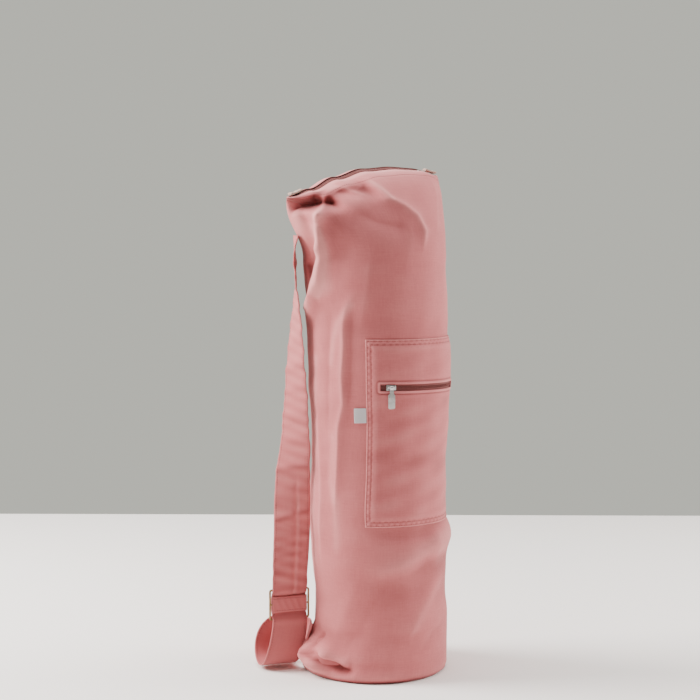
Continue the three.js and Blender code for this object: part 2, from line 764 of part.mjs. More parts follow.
function strapStops() {
  const stops = [];
  const put = (middle, across, cup = 0) => stops.push({ middle, across, cup });

  // Sewn end at the zip's left corner, then the hanging stretch
  const topSpot = onCloth(strapTopTurn, strapTopUp, strapThickness / 2 + seamGap);
  const topHeading = zipHeading + strapTopTurn + 90;
  put(topSpot, headingWay(topHeading));
  const front = bandDepth / 2;
  const over = buckleBar / 2 + barClearance + strapThickness / 2;
  const behind = -(front + seamGap + strapThickness / 2);
  const hangLow = buckleSpot(over, buckleHeight / 2 + 6);
  for (const row of strapHang) {
    const middle = hangLow.clone().lerp(topSpot, row.share);
    middle.x += row.out * bodyRadius;
    put(middle, headingWay(row.heading), row.cup * strapWidth);
  }

  // Over the top bar, behind the band and out over the bottom bar
  const bar = buckleHeight / 2 - buckleBar / 2;
  const dive = 1.5;
  const run = [
    { front: over, height: bar + 8 },
    { front: over, height: bar - dive },
    { front: behind, height: bar - dive - 8 },
    { front: behind, height: -(bar - dive - 8) },
    { front: over, height: -(bar - dive) },
    { front: over, height: -(bar + 6) },
  ];
  for (const row of run) put(buckleSpot(row.front, row.height), buckleAcross);

  // The slack loop that lies on the floor. front and up are shares of the strap's width.
  for (const row of strapLoop) {
    const middle = buckleSpot(over + row.front * strapWidth, 0);
    middle.addScaledVector(buckleAcross, row.side * strapWidth);
    middle.z = row.up * strapWidth;
    const across = buckleAcross.clone().multiplyScalar(Math.cos(row.tilt * rad));
    across.z = -Math.sin(row.tilt * rad);
    put(middle, across);
  }

  // On its edge along the bag's side into the side seam
  for (const row of strapTail) {
    const half = strapWidth / 2 / bagHeight;
    const low = onCloth(row.turn, row.up - half, row.lift * strapThickness);
    const high = onCloth(row.turn, row.up + half, row.lift * strapThickness);
    put(low.clone().add(high).multiplyScalar(0.5), low.sub(high));
  }
  return stops;
}

// Outer frame with two slots for the strap
function strapBuckle() {
  const wide = buckleWidth / 2;
  const tall = buckleHeight / 2;
  const shape = plateShape([[-wide, -tall], [wide, -tall], [wide, tall], [-wide, tall]]);
  for (const side of [-1, 1]) {
    const from = side * buckleBar / 2;
    const to = side * (tall - buckleBar);
    const corners = [
      [-wide + buckleBar, from], [wide - buckleBar, from],
      [wide - buckleBar, to], [-wide + buckleBar, to],
    ];
    shape.holes.push(new THREE.Path(corners.map(([x, y]) => new THREE.Vector2(x, y))));
  }
  return onBuckle(extruded(shape, buckleBar));
}

// The band: a flat sleeve round the middle bar
function strapBand() {
  const steps = 4;
  const outline = (depth, height) => {
    const shape = [];
    const round = depth / 2;
    const rise = height / 2 - round;
    for (const side of [1, -1]) {
      for (let step = 0; step <= steps; step += 1) {
        const angle = (side > 0 ? 0 : Math.PI) + step / steps * Math.PI;
        shape.push([round * Math.cos(angle), side * rise + round * Math.sin(angle)]);
      }
    }
    return shape;
  };
  const sleeve = plateShape(
    outline(bandDepth, bandHeight),
    outline(bandDepth - 2 * bandCloth, bandHeight - 2 * bandCloth),
  );
  const geometry = extruded(sleeve, strapWidth);
  geometry.rotateY(Math.PI / 2);
  geometry.rotateX(Math.PI / 2);
  return onBuckle(geometry, true);
}

// Stands a piece drawn in the x-y plane upright at the buckle's place
function onBuckle(geometry, upright = false) {
  if (!upright) geometry.rotateX(Math.PI / 2);
  geometry.rotateZ(buckleHeading * rad);
  geometry.translate(buckleMiddle.x, buckleMiddle.y, buckleMiddle.z);
  return geometry;
}

add('body_shell', bodyShell(), canvas);
add('base_panel', basePanel(), canvas);
buildTopZip();
buildTapeEnds();
add('pocket_panel', pocketPanel(), canvas);
buildPocketZip();
add('label_tab', labelTab(), whiteTape);
add('strap', ribbon(strapStops(), strapWidth, strapThickness), canvas);
add('strap_buckle', strapBuckle(), brass);
add('strap_band', strapBand(), canvas);

export default turned;
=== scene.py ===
import bpy
import numpy as np
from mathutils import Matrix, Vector


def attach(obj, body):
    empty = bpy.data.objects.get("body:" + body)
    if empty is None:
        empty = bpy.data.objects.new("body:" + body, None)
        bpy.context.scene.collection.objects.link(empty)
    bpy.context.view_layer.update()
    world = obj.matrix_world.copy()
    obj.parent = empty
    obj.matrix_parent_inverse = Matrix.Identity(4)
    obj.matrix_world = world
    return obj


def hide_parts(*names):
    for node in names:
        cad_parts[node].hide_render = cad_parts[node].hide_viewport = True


# A canvas bag for a rolled mat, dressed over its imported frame. Metres.
# Shapes are worked out in the picture's own frame, x right, y away and z up,
# and toBag turns them so that the pocket faces -y.

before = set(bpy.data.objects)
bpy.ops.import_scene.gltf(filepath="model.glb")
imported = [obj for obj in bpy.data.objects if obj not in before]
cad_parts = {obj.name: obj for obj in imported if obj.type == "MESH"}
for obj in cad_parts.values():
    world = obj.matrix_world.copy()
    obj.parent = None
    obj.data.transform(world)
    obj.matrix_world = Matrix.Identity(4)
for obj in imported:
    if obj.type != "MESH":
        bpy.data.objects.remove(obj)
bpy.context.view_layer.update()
tau = 2 * np.pi


# Turns points of the picture's frame by -45 degrees about z: x' = (x + y)/root 2
def toBag(points):
    points = np.asarray(points, float)
    turned = points.copy()
    turned[..., 0] = (points[..., 0] + points[..., 1]) / np.sqrt(2)
    turned[..., 1] = (points[..., 1] - points[..., 0]) / np.sqrt(2)
    return turned


# Soft step from 0 to 1: p*p*(3 - 2p) with p held between 0 and 1
def soft(part):
    held = np.clip(part, 0, 1)
    return held * held * (3 - 2 * held)


# Straight mixture: start + (end - start) * part
def mix(start, end, part):
    return start + (end - start) * part


# Reads a column of a table at a value of its first column, with a soft step between rows
def readTable(rows, column, value):
    table = np.asarray(rows, float)
    keys = table[:, 0]
    after = np.clip(np.searchsorted(keys, value, side="left"), 1, len(keys) - 1)
    part = (value - keys[after - 1]) / (keys[after] - keys[after - 1])
    return mix(table[after - 1, column], table[after, column], soft(part))


# Vectors divided by their own lengths
def unit(vectors):
    return vectors / np.maximum(np.linalg.norm(vectors, axis=-1, keepdims=True), 1e-12)


# Quads of a grid of rows by columns of points, optionally closed either way.
# The corner order runs along a row first, then on to the next row.
def gridFaces(rows, columns, closeRows=False, closeColumns=False):
    rowSteps = np.arange(rows if closeRows else rows - 1)
    columnSteps = np.arange(columns if closeColumns else columns - 1)
    row, column = np.meshgrid(rowSteps, columnSteps, indexing="ij")
    nextRow = (row + 1) % rows
    nextColumn = (column + 1) % columns
    corners = [row * columns + column, row * columns + nextColumn,
               nextRow * columns + nextColumn, nextRow * columns + column]
    return np.stack(corners, axis=-1).reshape(-1, 4)


# Samples the rows of values at distances at, where run is the distance of each row
def sampleAt(at, run, values):
    return np.stack([np.interp(at, run, values[:, column])
                     for column in range(values.shape[1])], axis=-1)


# Distance along a line of places to each of them: the sum of the steps before it
def runOf(line):
    return np.concatenate([[0], np.cumsum(np.linalg.norm(np.diff(line, axis=0), axis=1))])


# Puts an object with this data into the scene
def addObject(name, data):
    made = bpy.data.objects.new(name, data)
    bpy.context.scene.collection.objects.link(made)
    return made


# Makes a mesh object from points, quads, extra faces, a flat map in metres and a mask of wear with
# painted highlight and painted shade
def makePiece(name, points, quads, looks, parent="bag", stands=(),
              flat=None, wearAndShade=None, caps=()):
    mesh = bpy.data.meshes.new(name)
    spots = toBag(np.asarray(points).reshape(-1, 3))
    faces = [tuple(quad) for quad in np.asarray(quads).tolist()] + [tuple(cap) for cap in caps]
    mesh.from_pydata(spots.tolist(), [], faces)
    corner = np.empty(len(mesh.loops), dtype=np.int64)
    mesh.loops.foreach_get("vertex_index", corner)
    if flat is not None:
        layer = mesh.uv_layers.new(name="cloth")
        layer.data.foreach_set("uv", np.asarray(flat).reshape(-1, 2)[corner].ravel())
    # The mask: above a half, ridges paler from wear and painted highlight; below a half, painted shade
    # in creases and recesses
    if wearAndShade is not None:
        mask = mesh.attributes.new("wearAndShade", "FLOAT", "POINT")
        mask.data.foreach_set("value", np.asarray(wearAndShade, float).ravel())
    mesh.polygons.foreach_set("use_smooth", np.ones(len(mesh.polygons), dtype=bool))
    mesh.update()
    mesh.validate()
    mesh.materials.append(looks)
    made = addObject(name, mesh)
    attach(made, parent)
    if stands:
        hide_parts(*stands)


# Node sums. A wire holds one output, and sums on it add Math nodes.
class Wire:
    def __init__(self, tree, socket):
        self.tree = tree
        self.socket = socket

    def node(self, kind, settings, inputs, output=0):
        made = self.tree.nodes.new(kind)
        for key, value in settings.items():
            setattr(made, key, value)
        for key, value in inputs.items():
            if isinstance(value, Wire):
                self.tree.links.new(value.socket, made.inputs[key])
            else:
                made.inputs[key].default_value = value
        return Wire(self.tree, made.outputs[output])

    def sum(self, operation, *values):
        return self.node("ShaderNodeMath", {"operation": operation}, dict(enumerate(values)))

    def __add__(self, other):
        return self.sum("ADD", self, other)

    def __radd__(self, other):
        return self.sum("ADD", other, self)

    def __sub__(self, other):
        return self.sum("SUBTRACT", self, other)

    def __rsub__(self, other):
        return self.sum("SUBTRACT", other, self)

    def __mul__(self, other):
        return self.sum("MULTIPLY", self, other)

    def __rmul__(self, other):
        return self.sum("MULTIPLY", other, self)

    def sine(self):
        return self.sum("SINE", self)

    def size(self):
        return self.sum("ABSOLUTE", self)

    def held(self):
        return self.node("ShaderNodeClamp", {}, {0: self})

    def part(self, key):
        return self.node("ShaderNodeSeparateXYZ", {}, {0: self}, "XYZ".index(key))


# Starts a material and hands back it, its shader node and a first wire
def startLooks(name):
    looks = bpy.data.materials.new(name)
    looks.use_nodes = True
    tree = looks.node_tree
    shader = next(node for node in tree.nodes if node.type == "BSDF_PRINCIPLED")
    return looks, shader, Wire(tree, None)


# Sets a shader's inputs: wires are linked, numbers are set on the socket itself
def setShader(shader, **values):
    for key, value in values.items():
        socket = shader.inputs[key.replace("_", " ")]
        if isinstance(value, Wire):
            value.tree.links.new(value.socket, socket)
        else:
            socket.default_value = value


# A colour with full cover
def colour(red, green, blue):
    return (red, green, blue, 1.0)


# Mixes two colours: one * (1 - factor) + two * factor
def blendColours(start, factor, one, two):
    return start.node("ShaderNodeMix", {"data_type": "RGBA"}, {0: factor, 6: one, 7: two}, 2)


# Places multiplied by one factor for each way
def stretched(start, place, *factors):
    return start.node("ShaderNodeVectorMath", {"operation": "MULTIPLY"}, {0: place, 1: factors})


# Cloudy noise from 0 to 1 with scale clouds a metre
def noise(start, place, scale, detail=2.0, roughness=0.5):
    return start.node("ShaderNodeTexNoise", {},
                      {"Vector": place, "Scale": scale, "Detail": detail, "Roughness": roughness})


# Woven cloth: crossed threads from the piece's own flat map, slubs along both thread ways,
# faded patches, ridges paler from wear and painted highlight, and painted shade in the creases, from
# the mask
def clothLooks(name, values):
    looks, shader, start = startLooks(name)
    flat = start.node("ShaderNodeUVMap", {"uv_map": "cloth"}, {})
    solid = start.node("ShaderNodeTexCoord", {}, {}, "Object")
    across = flat.part("X")
    upwards = flat.part("Y")
    weft = (across * (tau / values["thread"])).sine()
    warp = (upwards * (tau / values["thread"])).sine()
    weave = weft * warp * 0.5 + (weft.size() + warp.size()) * 0.25
    slubScale = 1 / values["thread"] * 0.7
    longSlub = noise(start, stretched(start, flat, 1.0, values["slubLength"], 1.0), slubScale, 1.0)
    wideSlub = noise(start, stretched(start, flat, values["slubLength"], 1.0, 1.0), slubScale, 1.0)
    slub = longSlub + wideSlub - 1.0
    patch = noise(start, solid, values["patchScale"], 3.0, 0.6)
    fleck = noise(start, solid, values["fleckScale"], 2.0)
    wearAndShade = start.node("ShaderNodeAttribute", {"attribute_name": "wearAndShade"}, {}, "Fac")
    # ridge: paler ridges, partly wear and partly painted highlight. crease: painted shade where the
    # mask falls below a half
    ridge = (wearAndShade * 2.0 - 1.0).held()
    creaseShade = (1.0 - wearAndShade * 2.0).held()
    fadedAndLit = ((patch - 0.5) * values["patches"] + slub * values["slubs"]
             + (fleck - 0.5) * values["flecks"] + ridge * values["ridges"]
             + (weave - 0.5) * values["weaveShade"] + 0.5).held()
    cloth = blendColours(start, fadedAndLit, values["deep"], values["pale"])
    # Ridges go towards the paler colour: partly wear, partly painted highlight
    cloth = blendColours(start, ridge * values["ridgeWearAndHighlight"], cloth, values["fadedAndLit"])
    # Painted shade: creases, recesses, the foot and the inside go towards the shade colour
    cloth = blendColours(start, creaseShade * values["creases"], cloth, values["shade"])
    height = (weave * values["weaveRise"] + slub * values["slubRise"]
              + (patch - 0.5) * values["patchRise"])
    bump = start.node("ShaderNodeBump", {}, {"Height": height, "Strength": 0.8, "Distance": 1.0})
    setShader(shader, Base_Color=cloth, Roughness=values["roughness"] + slub * 0.12, Normal=bump,
              Sheen_Weight=values["sheen"], Sheen_Roughness=0.45, Sheen_Tint=values["sheenTint"],
              Specular_IOR_Level=0.25)
    return looks


# Metal: cloudy tarnish, fine scratches along one way, roughness from both
def metalLooks(name, values):
    looks, shader, start = startLooks(name)
    solid = start.node("ShaderNodeTexCoord", {}, {}, "Object")
    cloud = noise(start, solid, values["cloudScale"], 4.0, 0.6)
    fine = noise(start, stretched(start, solid, 1.0, 1.0, 0.08), 2600.0, 2.0)
    tarnish = ((cloud - 0.42) * 3.0).held()
    metal = blendColours(start, tarnish, values["bright"], values["dull"])
    bump = start.node("ShaderNodeBump", {}, {"Height": fine * 0.00003 + cloud * 0.00004,
                                             "Strength": 0.6, "Distance": 1.0})
    setShader(shader, Base_Color=metal, Metallic=1.0, Normal=bump,
              Roughness=values["roughness"] + tarnish * 0.14 + (fine - 0.5) * 0.12)
    return looks


# Values of the canvas. Lengths are in metres, and the other cloths change a few of them
clothValues = {
    "thread": 0.00092,
    "patchScale": 14.0,
    "patches": 0.7,
    "patchRise": 0.0002,
    "slubs": 0.45,
    "slubLength": 0.06,
    "fleckScale": 420.0,
    "flecks": 0.35,
    # ridges: how much paler the ridges are, partly wear and partly painted highlight
    "ridges": 0.45,
    "weaveShade": 0.2,
    # creases: how far painted shade darkens creases and recesses towards the shade colour
    "creases": 0.85,
    "weaveRise": 0.00007,
    "slubRise": 0.00007,
    "roughness": 0.86,
    "sheen": 0.25,
    "sheenTint": colour(1.0, 0.78, 0.76),
    "deep": colour(0.45, 0.108, 0.114),
    "pale": colour(0.63, 0.19, 0.194),
    "shade": colour(0.19, 0.028, 0.028),
    # the paler colour that ridges go to, and how far: partly wear, partly painted highlight
    "ridgeWearAndHighlight": 0.27,
    "fadedAndLit": colour(0.84, 0.44, 0.42),
}
canvas = clothLooks("canvas", clothValues)
strapCanvas = clothLooks("strapCanvas", {
    **clothValues, "patches": 0.5, "creases": 0.4, "ridgeWearAndHighlight": 0.07,
    "pale": colour(0.56, 0.16, 0.16)})
tapeCloth = clothLooks("zipTape", {
    **clothValues, "ridgeWearAndHighlight": 0, "thread": 0.0006, "deep": colour(0.36, 0.125, 0.115),
    "pale": colour(0.45, 0.17, 0.155), "shade": colour(0.16, 0.04, 0.038)})
creamCloth = clothLooks("creamTape", {
    **clothValues, "thread": 0.0007, "deep": colour(0.70, 0.55, 0.48), "sheen": 0.1,
    "pale": colour(0.86, 0.76, 0.69), "shade": colour(0.42, 0.28, 0.23)})
whiteCloth = clothLooks("labelTape", {
    **clothValues, "thread": 0.0004, "deep": colour(0.70, 0.69, 0.74), "sheen": 0.1,
    "pale": colour(0.84, 0.83, 0.87), "shade": colour(0.5, 0.46, 0.48)})
threadLooks = clothLooks("thread", {
    **clothValues, "thread": 0.0003, "deep": colour(0.46, 0.17, 0.165),
    "pale": colour(0.62, 0.28, 0.27)})
nickel = metalLooks("nickel", {
    "cloudScale": 180.0, "roughness": 0.28,
    "bright": colour(0.66, 0.65, 0.64), "dull": colour(0.42, 0.41, 0.41)})
agedBrass = metalLooks("agedBrass", {
    "cloudScale": 120.0, "roughness": 0.34,
    "bright": colour(0.36, 0.22, 0.10), "dull": colour(0.13, 0.07, 0.035)})
print("materials made")


# The tube of cloth
body = {
    "height": 0.670,
    "diameter": 0.182,
    "baseDiameter": 0.195,
    "wall": 0.002,
    "crownHeight": 0.124,
    "zipChord": 0.236,
    "zipHeading": 33.5,
    "zipMouth": 0.014,
    "lipRise": 0.003,
    "farLip": 0.0018,
    "foldFadeFoot": 0.012,
    "columns": 360,
    # rows of points: the height share that a stretch ends at, and its number of cells
    "rows": [(0.02, 9), (0.1, 22), (0.8, 88), (0.99, 80), (1.0, 8)],
    "innerRows": [(0.8, 30), (0.86, 4), (0.99, 24), (1.0, 3)],
    # the hem round the rim: how far it stands out, its depth, its groove and the groove's place
    "hemRise": 0.0007,
    "hemDepth": 0.010,
    "hemGroove": 0.0005,
    "hemStitch": 0.008,
    # how the mask of wear, painted highlight and painted shade is found: reach in cells, how proud
    # counts as full, share of the sum
    "wearAndShadeMaskSizes": [(5, 0.002, 0.4), (9, 0.005, 0.6)],
    # share of the height, sideways shift, share of the base, girth
    "sections": [
        (0, 0, 1, 0.955), (0.005, 0, 1, 0.99), (0.012, 0, 1, 1), (0.037, 0.04, 0.8, 0.98),
        (0.097, 0.1, 0.2, 0.965), (0.158, 0.088, 0, 0.96), (0.239, 0.07, 0, 0.995),
        (0.33, 0.03, 0, 0.985), (0.42, 0.05, 0, 0.965), (0.5, 0.06, 0, 0.985),
        (0.58, 0.052, 0, 1.02), (0.72, 0.037, 0, 1.028), (0.815, 0, 0, 1.04), (1, 0, 0, 1.04),
    ],
    # share along the zip from its right corner, height share, sideways bow
    "rim": [
        (0, 0.985, 0), (0.15, 0.995, 0.012), (0.3, 0.996, 0.01), (0.5, 0.99, 0),
        (0.7, 0.972, -0.012), (0.86, 0.949, -0.01), (1, 0.935, 0),
    ],
    # the frame's own folds: reach and depth in mm, then the places they run through
    "folds": [
        (8, -19, [(176, 0.92), (226, 0.924)]), (8, -10, [(226, 0.946), (254, 0.945)]),
        (9, 6, [(212, 0.9), (193, 0.835)]), (10, 5, [(193, 0.835), (172, 0.72)]),
        (12, -6, [(194, 0.89), (176, 0.8)]), (17, 8, [(292, 0.262), (336, 0.28)]),
        (16, 18, [(176, 0.042), (187, 0.042)]), (15, -5, [(58, 0.8), (76, 0.42)]),
        (14, 4, [(112, 0.7), (128, 0.25)]), (12, -9, [(40, 0.93), (96, 0.9)]),
        (13, -4, [(95, 0.2), (40, 0.13)]),
    ],
    # how strongly the wear, painted highlight and painted shade follow the folds
    "foldWearAndShade": 0.62,
    # where shade and highlight are painted on the cloth: reach in mm, amount (below 0 painted shade,
    # above 0 painted highlight), then the places
    "paintedLight": [
        (9, -0.7, [(170.5, 0.938), (187, 0.93), (206.5, 0.922), (217, 0.925), (227.5, 0.94)]),
        (17, 0.45, [(185.5, 0.885), (193, 0.83), (194, 0.767)]),
        (3, 0.5, [(237, 0.957), (228, 0.943), (214, 0.912), (207, 0.893)]),
        (4, 0.42, [(204, 0.881), (197, 0.819), (192, 0.776), (186, 0.744)]),
        (5, 0.28, [(216, 0.728), (204, 0.697), (198, 0.657), (195, 0.617)]),
        (6, 0.22, [(196, 0.474), (194, 0.386), (203, 0.339), (199, 0.259)]),
        (5, 0.22, [(177, 0.625), (170, 0.506), (168, 0.378), (168, 0.219)]),
        (4, -0.35, [(169, 0.802), (179, 0.744)]),
        (9, -0.14, [(230, 0.905), (207, 0.805), (200, 0.744)]),
        (2.5, -0.5, [(159, 0.056), (214, 0.024)]),
        (2.5, 0.35, [(260, 0.964), (265, 0.933)]),
    ],
    # creases that only the finished cloth shows: reach and depth in mm, then the places
    # that the crease runs through, as turn and height share
    "creases": [
        (8, -6, [(170, 0.94), (196, 0.93), (214.5, 0.922), (224.5, 0.93)]),
        (4, 4.5, [(169.5, 0.976), (175, 0.978), (207.5, 0.98), (215, 0.98)]),
        (4, 5, [(213, 0.98), (216.5, 0.97), (218, 0.96), (224, 0.96)]),
        (4.5, 6.5, [(223, 0.96), (230.5, 0.97), (233.5, 0.97), (237.5, 0.96), (243, 0.945),
            (253.5, 0.934)]),
        (6, 12, [(238.5, 0.959), (230.5, 0.946), (220.5, 0.924), (209.5, 0.897), (204, 0.882)]),
        (10, 8, [(211.5, 0.909), (202.5, 0.871), (194, 0.81), (188.5, 0.772), (178, 0.74),
            (151.5, 0.685)]),
        (6, -10, [(228, 0.965), (219, 0.94), (214.5, 0.921)]),
        (6.5, -9, [(220.5, 0.979), (229.5, 0.985), (238.5, 0.98), (248, 0.974), (255.5, 0.961),
            (256.5, 0.941)]),
        (9, 8.5, [(263, 0.999), (258.5, 0.976), (259.5, 0.958), (262.5, 0.934), (270.5, 0.92),
            (277, 0.901), (280, 0.871), (277.5, 0.83)]),
        (20, -4, [(235.5, 0.907), (246.5, 0.886), (270, 0.871)]),
        (3.5, 2.5, [(170, 0.95), (195.5, 0.944), (214.5, 0.934)]),
        (11, -1, [(217.5, 0.9), (205, 0.829), (201, 0.757)]),
        (9, 5.5, [(223, 0.762), (216.5, 0.74), (211.5, 0.72), (209, 0.693), (209.5, 0.652),
            (207, 0.59), (208, 0.54), (202.5, 0.497), (201.5, 0.427), (200.5, 0.295)]),
        (10, -2.2, [(218, 0.74), (215.5, 0.652), (212.5, 0.51)]),
        (11, -2, [(197.5, 0.728), (193, 0.613), (188, 0.465)]),
        (8, 3, [(175, 0.542), (177, 0.463), (184, 0.347), (179, 0.207)]),
        (12, 4, [(324.5, 0.295), (293, 0.282), (277.5, 0.255), (261.5, 0.237), (233, 0.212)]),
        (14, -2.6, [(324.5, 0.22), (279, 0.223), (258, 0.2)]),
        (14, 4, [(307.5, 0.203), (288, 0.172), (271.5, 0.13), (256.5, 0.075)]),
        (14, -1.8, [(320.5, 0.115), (287, 0.087), (271, 0.043)]),
        (18, -1.6, [(247.5, 0.21), (227.5, 0.138), (205.5, 0.052)]),
        (14, 1.5, [(220, 0.21), (205, 0.138), (192, 0.075)]),
        (6, 7, [(166, 0.105), (150, 0.06), (173, 0.048), (179, 0.03), (201, 0.013)]),
        (4, -10, [(171, 0.052), (187, 0.048), (193.5, 0.037), (200, 0.033), (209, 0.025),
            (222, 0.02)]),
        (4.5, -4, [(184, 0.087), (180, 0.068), (180, 0.052)]),
        (5, 5, [(189, 0.052), (198, 0.045), (216, 0.03)]),
        (7, -2, [(227, 0.29), (255, 0.285), (298, 0.287)]),
        (12, 2, [(320, 0.98), (311.5, 0.936), (295.5, 0.864)]),
        (14, 2, [(235.5, 0.839), (228, 0.74), (221.5, 0.682)]),
        (7, 2, [(30, 0.88), (50, 0.7)]), (8, -2.2, [(80, 0.86), (66, 0.6)]),
        (8, 1.8, [(120, 0.85), (134, 0.6)]), (7, -1.6, [(20, 0.3), (60, 0.36)]),
        (7, 1.6, [(90, 0.34), (130, 0.28)]), (6, 1.6, [(10, 0.12), (44, 0.07)]),
    ],
}
degree = np.pi / 180
upWay = np.array([0.0, 0.0, 1.0])


# Level ways of length 1 at headings in degrees, counted from x towards y
def headingWay(degrees):
    degrees = np.asarray(degrees, float)
    return np.stack([np.cos(degrees * degree), np.sin(degrees * degree),
                     np.zeros_like(degrees)], axis=-1)


bodyRadius = body["diameter"] / 2
zipAcross = headingWay(body["zipHeading"] + 90)


# How far folds push the cloth out: the sum of depth * taper * profile, by the distance to
# the nearest stretch of each fold's line in (turn * radius, height). The profile is
# exp(-distance^2 / reach^2), or exp(-(root(distance^2 + edge^2) - edge) / reach) where an
# edge is given, which makes a crisp line with broad flanks. The taper ends it softly
def foldPush(turn, height, rows, edge=0.0, taper=0.0):
    run = turn * degree * bodyRadius
    push = np.zeros(np.broadcast(turn, height).shape)
    for reach, depth, places in rows:
        line = np.array(places) * [degree * bodyRadius, body["height"]]
        before = runOf(line)
        nearest = np.full(push.shape, 1.0)
        along = np.zeros(push.shape)
        for start, end, length, done in zip(line[:-1], line[1:], np.diff(before), before):
            way = end - start
            share = ((run - start[0]) * way[0] + (height - start[1]) * way[1]) / (way @ way)
            share = np.clip(share, 0, 1)
            away = (run - start[0] - way[0] * share)**2 + (height - start[1] - way[1] * share)**2
            closer = away < nearest
            nearest = np.where(closer, away, nearest)
            along = np.where(closer, (done + share * length) / before[-1], along)
        if edge:
            fall = np.exp(-(np.sqrt(nearest + edge**2) - edge) / (reach / 1000))
        else:
            fall = np.exp(-nearest / (reach / 1000)**2)
        if taper:
            fall = fall * soft(along / taper + 0.15) * soft((1 - along) / taper + 0.15)
        push = push + depth / 1000 * fall
    return push


# Small unevenness of the cloth: a sum of crossed sines, 40 to 120 mm long
def ripple(turn, height):
    run = turn * degree
    first = np.sin(3 * run + 31 * height + 0.6) * np.sin(2 * run - 47 * height)
    second = np.sin(7 * run + 60 * height + 1.9) * np.sin(5 * run - 88 * height + 0.4)
    third = np.sin(11 * run - 131 * height) * np.sin(4 * run + 97 * height + 2.2)
    return 0.0006 * first + 0.00035 * second + 0.0002 * third


# A place on the tube. The tube's radius goes flat towards the zip: across the zip it is
# radius * sqrt(1 - crown^2.2), along the zip it widens to half the zip's length
def clothPoint(turn, up, lift=0.0):
    turn, up = np.broadcast_arrays(np.asarray(turn, float), np.asarray(up, float))
    angle = turn * degree
    crownStart = 1 - body["crownHeight"] / body["height"]
    crown = np.clip((up - crownStart) / (1 - crownStart), 0, None)
    share = (1 - np.cos(angle)) / 2
    base = readTable(body["sections"], 2, up)
    girth = readTable(body["sections"], 3, up)
    radius = mix(bodyRadius, body["baseDiameter"] / 2, base) * girth
    along = mix(radius, body["zipChord"] / 2, soft(crown)) + lift
    across = mix(body["zipMouth"] / 2, radius, np.sqrt(np.clip(1 - crown**2.2, 0, None))) + lift
    rim = readTable(body["rim"], 1, share) * body["height"]
    lip = np.sin(angle) * body["lipRise"] / 2
    lip = lip + np.maximum(np.sin(angle), 0) * body["farLip"] * crown**6
    height = np.where(crown > 0, mix(crownStart * body["height"], rim + lip, crown),
                      up * body["height"])
    outX = np.cos(angle) * across
    outY = np.sin(angle) * along
    size = np.hypot(outX, outY)
    fade = soft(up / body["foldFadeFoot"] - 0.4) * (1 - soft((crown - 0.86) / 0.14))
    push = foldPush(turn, height, body["folds"])
    push = push + foldPush(turn, height, body["creases"], 0.0012, 0.3)
    push = (push + ripple(turn, height)) * fade
    bow = readTable(body["rim"], 2, share) * body["zipChord"] * crown
    run = np.cos(angle) * along + outX / size * push
    deep = np.sin(angle) * across + outY / size * push + bow
    shift = readTable(body["sections"], 1, up) * bodyRadius
    leanX = shift - 0.15 * bodyRadius * soft(crown)
    leanY = 0.11 * bodyRadius * soft(crown)
    heading = body["zipHeading"] * degree
    x = leanX + run * np.cos(heading) - deep * np.sin(heading)
    y = leanY + run * np.sin(heading) + deep * np.cos(heading)
    return np.stack([x, y, height], axis=-1)


# Mask of a grid of points for wear and painted light: how far the surface stands out from its own
# average over a few cells, so ridges come out near 1 (paler: wear and painted highlight), creases near
# 0 (painted shade) and plain cloth at a half
def wearAndShadeMask(points, closeColumns, reach, full):
    wide = points
    for axis in (0, 1):
        pad = [(0, 0), (0, 0), (0, 0)]
        pad[axis] = (reach, reach)
        mode = "wrap" if axis == 1 and closeColumns else "edge"
        padded = np.pad(wide, pad, mode=mode)
        count = wide.shape[axis]
        total = sum(np.take(padded, np.arange(step, step + count), axis=axis)
                    for step in range(2 * reach + 1))
        wide = total / (2 * reach + 1)
    right = np.roll(points, -1, axis=1) - np.roll(points, 1, axis=1)
    upper = np.gradient(points, axis=0)
    outwards = unit(np.cross(right, upper))
    proud = np.sum((points - wide) * outwards, axis=-1)
    proud = proud - np.median(proud)
    return np.clip(0.5 + 0.5 * proud / full, 0, 1)


# Shares of the height of the tube's rows, closer together in the crown
def heightShares(bands):
    shares = [0.0]
    for top, rows in bands:
        shares.extend(np.linspace(shares[-1], top, rows + 1)[1:].tolist())
    return np.array(shares)


# The hem round the closed rim: rise * (1 - soft step at its depth), less a groove of
# exp(-distance^2 / width^2) where its stitches run
def hemLift(up):
    below = (1 - up) * body["height"]
    hem = body["hemRise"] * (1 - soft((below - body["hemDepth"]) / 0.003))
    groove = body["hemGroove"] * np.exp(-((below - body["hemStitch"]) / 0.0012)**2)
    return hem - groove


